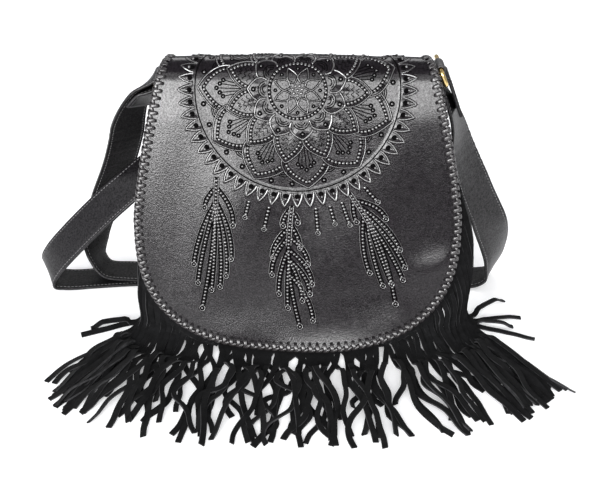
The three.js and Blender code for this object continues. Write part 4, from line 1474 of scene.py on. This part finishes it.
# Stitching

def sew(shape, path, up, pitch, stitch):
    """A row of stitches along a path; up is the direction out of the leather beside it."""
    length, width, height = stitch
    places, ups = spaced(path, pitch, np.broadcast_to(up, np.shape(path)), ends=False)
    along = directions(places)
    side = unit(np.cross(unit(ups), along))
    shape.copies(STITCH, places, along * length / 2, side * width / 2, np.cross(along, side) * height)


def add_seams():
    shape = Shape()
    path, out = body_outline(BACK_TOP - SEAM_BELOW_TOP, corner_steps=60, side_steps=30)
    inner = path - out * SEAM_INSET
    for face, outwards, deep in ((back_face, 1, BACK_SAG), (front_face, -1, 0)):
        line = on_face(inner, face, outwards * panel_sag(*inner.T, deep))
        sew(shape, line, np.array([0, outwards, 0]), SEAM_PITCH, SEAM_STITCH)
    half = flap_half_width(FLAP_LENGTH) - TAIL_SEAM_MARGIN
    for inset in TAIL_SEAM_INSETS:
        line = flap_point(np.linspace(-half, half, TAIL_SEAM_STEPS), FLAP_LENGTH - inset, WALL / 2)
        sew(shape, line, np.array([0, 1, 0]), SEAM_PITCH, SEAM_STITCH)
    add_piece("seam_stitching", shape, [THREAD])


# Fringe

def floor_rows(foot, heading, start, run, wave, index):
    """Guide points of a strip's wavy run over the floor, and the wanted direction across it at each."""
    forward = np.array([math.sin(heading), -math.cos(heading), 0])
    across = np.array([math.cos(heading), math.sin(heading), 0])
    layer = FLOOR_LAYERS[index % len(FLOOR_LAYERS)]
    phase = math.pi * spread(index, FOR_PHASE)
    turns = WAVE_TURNS + WAVE_TURNS_SPREAD * spread(index, FOR_TURNS)
    rows = []
    for t in np.linspace(FIRST_FLOOR_GUIDE, 1, FLOOR_GUIDES):
        swing = math.sin(phase + turns * t) - math.sin(phase)
        wriggle = math.sin(2 * phase + WRIGGLE_TURNS * turns * t) - math.sin(2 * phase)
        centre = foot + forward * lerp(start, run, t) + across * wave * (swing + WRIGGLE * wriggle)
        height = lerp(layer, FLOOR_LAYERS[0], smoothstep(t, *LAYER_ENDS))
        centre[2] = height if t > LAYER_FROM else FLOOR_LAYERS[0]
        rows.append((centre, across))
    return rows


def strip_rows(point, along, out, share, index):
    """Guide points of one strip, and the wanted direction across it at each."""
    side = math.copysign(1, point[0])

    def fall(column):
        return float(np.interp(share, FRINGE_FALL["share"], FRINGE_FALL[column]))

    gathered = float(smoothstep(share, *BUNDLE_SHARE))
    heading = side * math.radians(fall("heading"))
    heading += lerp(HEADING_SPREAD, BUNDLE_SPREAD, gathered) * spread(index, FOR_HEADING)
    wave = lerp(WAVE, BUNDLE_WAVE, gathered) * (1 + WAVE_SPREAD * spread(index, FOR_WAVE))
    run = fall("run") + RUN_SPREAD * spread(index, FOR_RUN)
    if index % SHORT_EVERY == 0:
        run *= SHORT_SHARE
    if index in STRAYS:
        degrees, run = STRAYS[index]
        heading = side * math.radians(degrees)
        wave = STRAY_WAVE
    root = point - STRIP_ROOT_INSET * out
    root[2] = max(root[2], FLOOR_LAYERS[0] + STRIP_WIDTH / 2 * abs(along[2]))
    root[1] -= GAP + FRINGE_THICKNESS / 2
    drift = fall("drift_left" if side < 0 else "drift_right")
    foot = np.array([root[0] + side * drift, root[1] - FOOT_FORWARD, 0])
    rows = [(root, along)]
    if root[2] <= HANGS_ABOVE:
        rows.append((root - [0, FLAT_LEAD, 0], along))
        return rows + floor_rows(foot, heading, FLAT_START, run, wave, index)
    foot[0] += side * (HANG_FOOT[0] + HANG_FOOT_SPREAD[0] * spread(index, FOR_FOOT_OUT))
    foot[1] += HANG_FOOT[1] + HANG_FOOT_SPREAD[1] * spread(index, FOR_FOOT_BACK)
    turned = np.array([1, HANG_TURN_SPREAD * spread(index, FOR_HANG_TURN), 0])
    bend = min(FLOOR_BEND, root[2] / 2)
    outside = root + HANG_OUT * out - [0, 2 * GAP, 0]
    outside[2] = max(outside[2], bend + 1)
    rows.append((outside, along))
    if root[2] > LONG_HANG:
        rows.append((np.array([foot[0], foot[1], root[2] * LONG_HANG_GUIDE]), turned))
    rows.append((np.array([foot[0], foot[1], bend]), turned))
    return rows + floor_rows(foot, heading, HANG_START, run, wave, index)


def lay_strip(shape, centres, wanted, index):
    """One strip with a curl in its free end, kept clear of the floor."""
    share = np.linspace(0, 1, len(centres))[:, None]
    bends = np.sin(CURL_TURNS * share + CURL_PHASE * spread(index, FOR_CURL_PHASE))
    curl = CURL * spread(index, FOR_CURL) * smoothstep(share, *CURL_FROM) * bends
    wanted = unit(wanted)
    wanted = wanted * np.cos(curl) + np.cross(directions(centres), wanted) * np.sin(curl)
    lowest = STRIP_WIDTH / 2 * np.abs(unit(wanted)[:, 2]) + FRINGE_THICKNESS / 2 + FLOOR_CLEARANCE
    centres[:, 2] = np.maximum(centres[:, 2], lowest)
    width = STRIP_WIDTH * (1 + STRIP_WIDTH_SPREAD * spread(index, FOR_WIDTH))
    ribbon(shape, centres, wanted, width, FRINGE_THICKNESS, FLAT_EDGED, FLAT_EDGED_KINDS)


def add_fringe():
    shape = Shape()
    path, out = body_outline(FRINGE_TOP, corner_steps=40, side_steps=16)
    outside = GAP + FRINGE_THICKNESS
    corners = [(FRINGE_BAND, GAP), (FRINGE_BAND, outside), (0, outside), (0, GAP)]
    band = [on_face(path - out * inset, front_face, -lift) for inset, lift in corners]
    shape.loft(np.stack(band, 1))
    seam = spaced(on_face(path, front_face), 1)
    along = directions(seam)
    for index in range(FRINGE_COUNT):
        t = index / (FRINGE_COUNT - 1)
        at = int(lerp(*FRINGE_ENDS, t) * (len(seam) - 1))
        point, direction = seam[at], along[at]
        outward = unit(np.array([direction[2], 0, -direction[0]]))
        outward[1] = front_face(point[0] + outward[0], point[2] + outward[2]) - point[1]
        guides, across = zip(*strip_rows(point, direction, outward, abs(2 * t - 1), index))
        centres = smooth_curve(guides, STRIP_GUIDES)
        lay_strip(shape, *spaced(centres, STRIP_STEP, blended(across, STRIP_GUIDES)), index)
    add_piece("fringe_suede", shape, [SUEDE, RAW_EDGE_AND_HIGHLIGHT], ["fringe"], smooth=False)


# Rings and tabs

def add_ring(name, ring):
    inner, outer = [np.array([ring["side"] * x, RING_MIDDLE, z]) for x, z in (ring["inner"], ring["outer"])]
    centre = (inner + outer) / 2
    down = unit(outer - inner)
    width = np.array([0, 1, 0])
    long_side = down * (np.linalg.norm(outer - inner) / 2 - RING_CORNER)
    wide_side = width * (RING_INSIDE / 2 + RING_WIRE - RING_CORNER)
    path = []
    for quarter, (a, b) in enumerate(((1, 1), (-1, 1), (-1, -1), (1, -1))):
        for turn in (quarter + np.linspace(0, 1, RING_CORNER_STEPS)) * math.pi / 2:
            out = down * math.cos(turn) + width * math.sin(turn)
            path.append(centre + long_side * a + wide_side * b + out * RING_CORNER)
    path = np.array(path)
    normal = np.cross(down, width)
    beside = np.cross(normal, directions(path, closed=True))
    around = RING_WIRE * circle(RING_SIDES)
    sections = path[:, None, :] + around[None, :, 0:1] * beside[:, None, :] + around[None, :, 1:2] * normal
    shape = Shape()
    shape.loft(sections[:, ::-1], closed=True)
    add_piece(f"{name}_brass", shape, [BRASS], [name])


def add_tab(name, ring):
    side = ring["side"]
    bar_x, bar_z = ring["inner"]
    reach = RING_WIRE + GAP + TAB_WALL / 2
    leg_gap = TAB_WALL + GAP
    inset = WALL + 2 * GAP + TAB_WALL / 2 + leg_gap
    heights = np.linspace(TAB_FOOT, GUSSET_TOP, TAB_ROWS)

    def leg(shift):
        rise = [(body_half_width(z) - inset + shift, z) for z in heights]
        return [*rise, (bar_x - reach + shift, bar_z - TAB_BEND * reach)]

    turns = np.radians(np.linspace(180, 0, TAB_TURN_STEPS))
    over = [(bar_x + reach * math.cos(t), bar_z + reach * math.sin(t)) for t in turns]
    x, z = np.array([*leg(0), *over, *leg(leg_gap)[::-1]]).T
    centres = spaced(np.column_stack([side * x, np.full(len(x), TAB_MIDDLE), z]), TAB_STEP)
    shape = Shape()
    ribbon(shape, centres, np.array([[0, 1, 0]]), TAB_WIDTH, TAB_WALL, TAB_SECTION)
    add_piece(f"{name}_leather", shape, [PLAIN], [name])
    stitches = Shape()
    for y in (-1, 1):
        beside = np.full(TAB_ROWS, TAB_MIDDLE + y * (TAB_WIDTH / 2 - TAB_STITCH_INSET))
        line = np.column_stack([side * body_half_width(heights), beside, heights])
        sew(stitches, line[:-1], np.array([side, 0, 0]), TAB_PITCH, TAB_STITCH)
    add_piece(f"{name}_stitching", stitches, [THREAD])


# Strap

def strap_lap(ring):
    """Middles of the strap, and directions across it, from the lap's sewn tip round a ring's outer bar."""
    bar_x, bar_z = ring["outer"]
    reach = RING_WIRE + LAP_GAP + STRAP_THICKNESS / 2
    line = [ring["tip"], ring["fold"]]
    for turn in np.radians(np.linspace(*ring["turns"], LAP_STEPS)):
        line.append((bar_x + reach * math.cos(turn), bar_z + reach * math.sin(turn)))
    twists = np.radians(ring["twist"]) * np.array([1, FOLD_TWIST, *[0] * LAP_STEPS])
    across = np.column_stack([-ring["side"] * np.sin(twists), np.cos(twists), 0 * twists])
    return np.array([(ring["side"] * x, RING_MIDDLE, z) for x, z in line]), across


def strap_middle():
    """The strap's middle line and the direction across it, at even steps."""
    start, start_across = strap_lap(RINGS["right"])
    end, end_across = [rows[::-1] for rows in strap_lap(RINGS["left"])]
    route, route_across = zip(*STRAP_ROUTE)
    free = smooth_curve([start[-1], *route, end[0]], ROUTE_STEPS)
    free_across = blended([start_across[-1], *route_across, end_across[0]], ROUTE_STEPS)
    centres = np.vstack([start[:-1], free, end[1:]])
    across = np.vstack([start_across[:-1], free_across, end_across[1:]])
    return creased(*spaced(centres, STRAP_STEP, across))


def creased(centres, across):
    """The strap's middle line with fine folds across it below both rings."""
    place = lengths_along(centres)
    from_end = np.minimum(place, place[-1] - place)
    creases = smoothstep(from_end, *CREASES_GROW) * smoothstep(CREASES_TO - from_end, 0, CREASES_FADE)
    folds = sum(share * np.sin(place / length + phase) for length, phase, share in CREASE_WAVES)
    through = np.cross(directions(centres), across)
    return centres + through * (CREASE_DEPTH * creases * folds)[:, None], across


def strap_section():
    """The leather's section: flat faces that dip along the stitch lines."""
    dip = 1 - STRAP_STITCH_INSET / (STRAP_WIDTH / 2)
    rim = [(1, 0.35), (0.985, 0.75), (0.95, 1)]
    half = [*rim, (dip + 0.04, 0.96), (dip, 0.84), (dip - 0.05, 0.98), (0.4, 1)]
    top = [*half, *[(-a, b) for a, b in half[::-1]]]
    return 0.5 * np.array([*top, *[(-a, -b) for a, b in top]])


def add_strap():
    centres, across = strap_middle()
    section = strap_section()
    half = len(section) // 2
    kinds = [*[0] * half, *[1] * (half - 1), 0]  # the strap's back is another leather than its face
    shape = Shape()
    across, through = ribbon(shape, centres, across, STRAP_WIDTH, STRAP_THICKNESS, section, kinds)
    add_piece("strap_leather", shape, [STRAP_LEATHER, STRAP_BACK], ["strap"])
    stitches = Shape()
    for edge in (-1, 1):
        for face in (-1, 1):
            line = centres + across * edge * (STRAP_WIDTH / 2 - STRAP_STITCH_INSET)
            line = line + through * face * STRAP_THICKNESS * STRAP_STITCH_LIFT
            sew(stitches, line, through * face, STRAP_STITCH_PITCH, STRAP_STITCH)
    add_piece("strap_stitching", stitches, [THREAD])


# Stage: a pale floor, soft light and the camera

def add_floor():
    mesh = bpy.data.meshes.new("floor")
    corners = [(a * FLOOR_HALF, b * FLOOR_HALF, 0) for a, b in ((-1, -1), (1, -1), (1, 1), (-1, 1))]
    mesh.from_pydata(corners, [], [(0, 1, 2, 3)])
    material, shader = new_material("floor_paint", Specular_IOR_Level=0.1, Emission_Strength=FLOOR_GLOW)
    cloud = texture(material, NOISE, scale=3, Detail=2)
    varied(material, cloud, low=0.75, high=0.85, target=shader.inputs["Roughness"])
    place = add_node(material, "ShaderNodeSeparateXYZ", own_place(material), "Vector")
    near, far = FLOOR_FADE
    fade = add_node(material, "ShaderNodeMapRange", place.outputs["Y"], "Value", From_Min=near, From_Max=far)
    for socket in ("Base Color", "Emission Color"):
        ramp(material, fade.outputs["Result"], (0, 1), (FLOOR_GREY, FLOOR_PALE), shader.inputs[socket])
    mesh.materials.append(material)
    add_object("floor", mesh)


def add_light(name, place, aim_height, size, power):
    """A soft box light, in metres and watts."""
    data = bpy.data.lights.new(name, "AREA")
    data.shape = "RECTANGLE"
    data.size, data.size_y = size
    data.energy = power
    light = add_object(name, data)
    light.location = place
    x, y, z = np.array([0, 0, aim_height]) - place
    pitch = math.atan2(z, math.hypot(x, y)) + math.pi / 2
    light.rotation_euler = (pitch, 0, math.atan2(y, x) - math.pi / 2)


def add_sky():
    world = bpy.data.worlds.new("studio")
    bpy.context.scene.world = world
    world.use_nodes = True
    background = world.node_tree.nodes["Background"]
    background.inputs["Color"].default_value = SKY
    background.inputs["Strength"].default_value = SKY_STRENGTH


def add_camera():
    data = bpy.data.cameras.new("camera")
    data.sensor_width = SENSOR
    data.lens = LENS_PIXELS / PHOTO_WIDTH * SENSOR
    data.shift_x = (PHOTO_WIDTH / 2 - TARGET_PIXEL[0]) / PHOTO_WIDTH
    data.shift_y = (TARGET_PIXEL[1] - PHOTO_HEIGHT / 2) / PHOTO_WIDTH
    camera = add_object("camera", data)
    turn, height = math.radians(VIEW_TURN), math.radians(VIEW_HEIGHT)
    level = math.cos(height)
    away = np.array([math.sin(turn) * level, -math.cos(turn) * level, math.sin(height)])
    camera.location = (np.array(VIEW_TARGET) + away * VIEW_DISTANCE) * MM
    camera.rotation_euler = (math.pi / 2 - height, 0, turn)
    bpy.context.scene.camera = camera


add_camera()
for name, light in LIGHTS.items():
    add_light(name, *light)
add_sky()
add_floor()
bpy.context.scene.view_settings.view_transform = "Standard"
add_strap()
add_panel("front_panel", FRONT_TOP, front_face, WALL / math.cos(FRONT_LEAN), FRONT_SAG, faces_front=True)
add_panel("back_panel", BACK_TOP, back_face, WALL / math.cos(BACK_LEAN), BACK_SAG, faces_front=False)
add_gusset()
add_seams()
add_flap()
add_tooling()
add_lacing()
add_fringe()
for name, ring in RINGS.items():
    add_ring(f"ring_{name}", ring)
    add_tab(f"tab_{name}", ring)
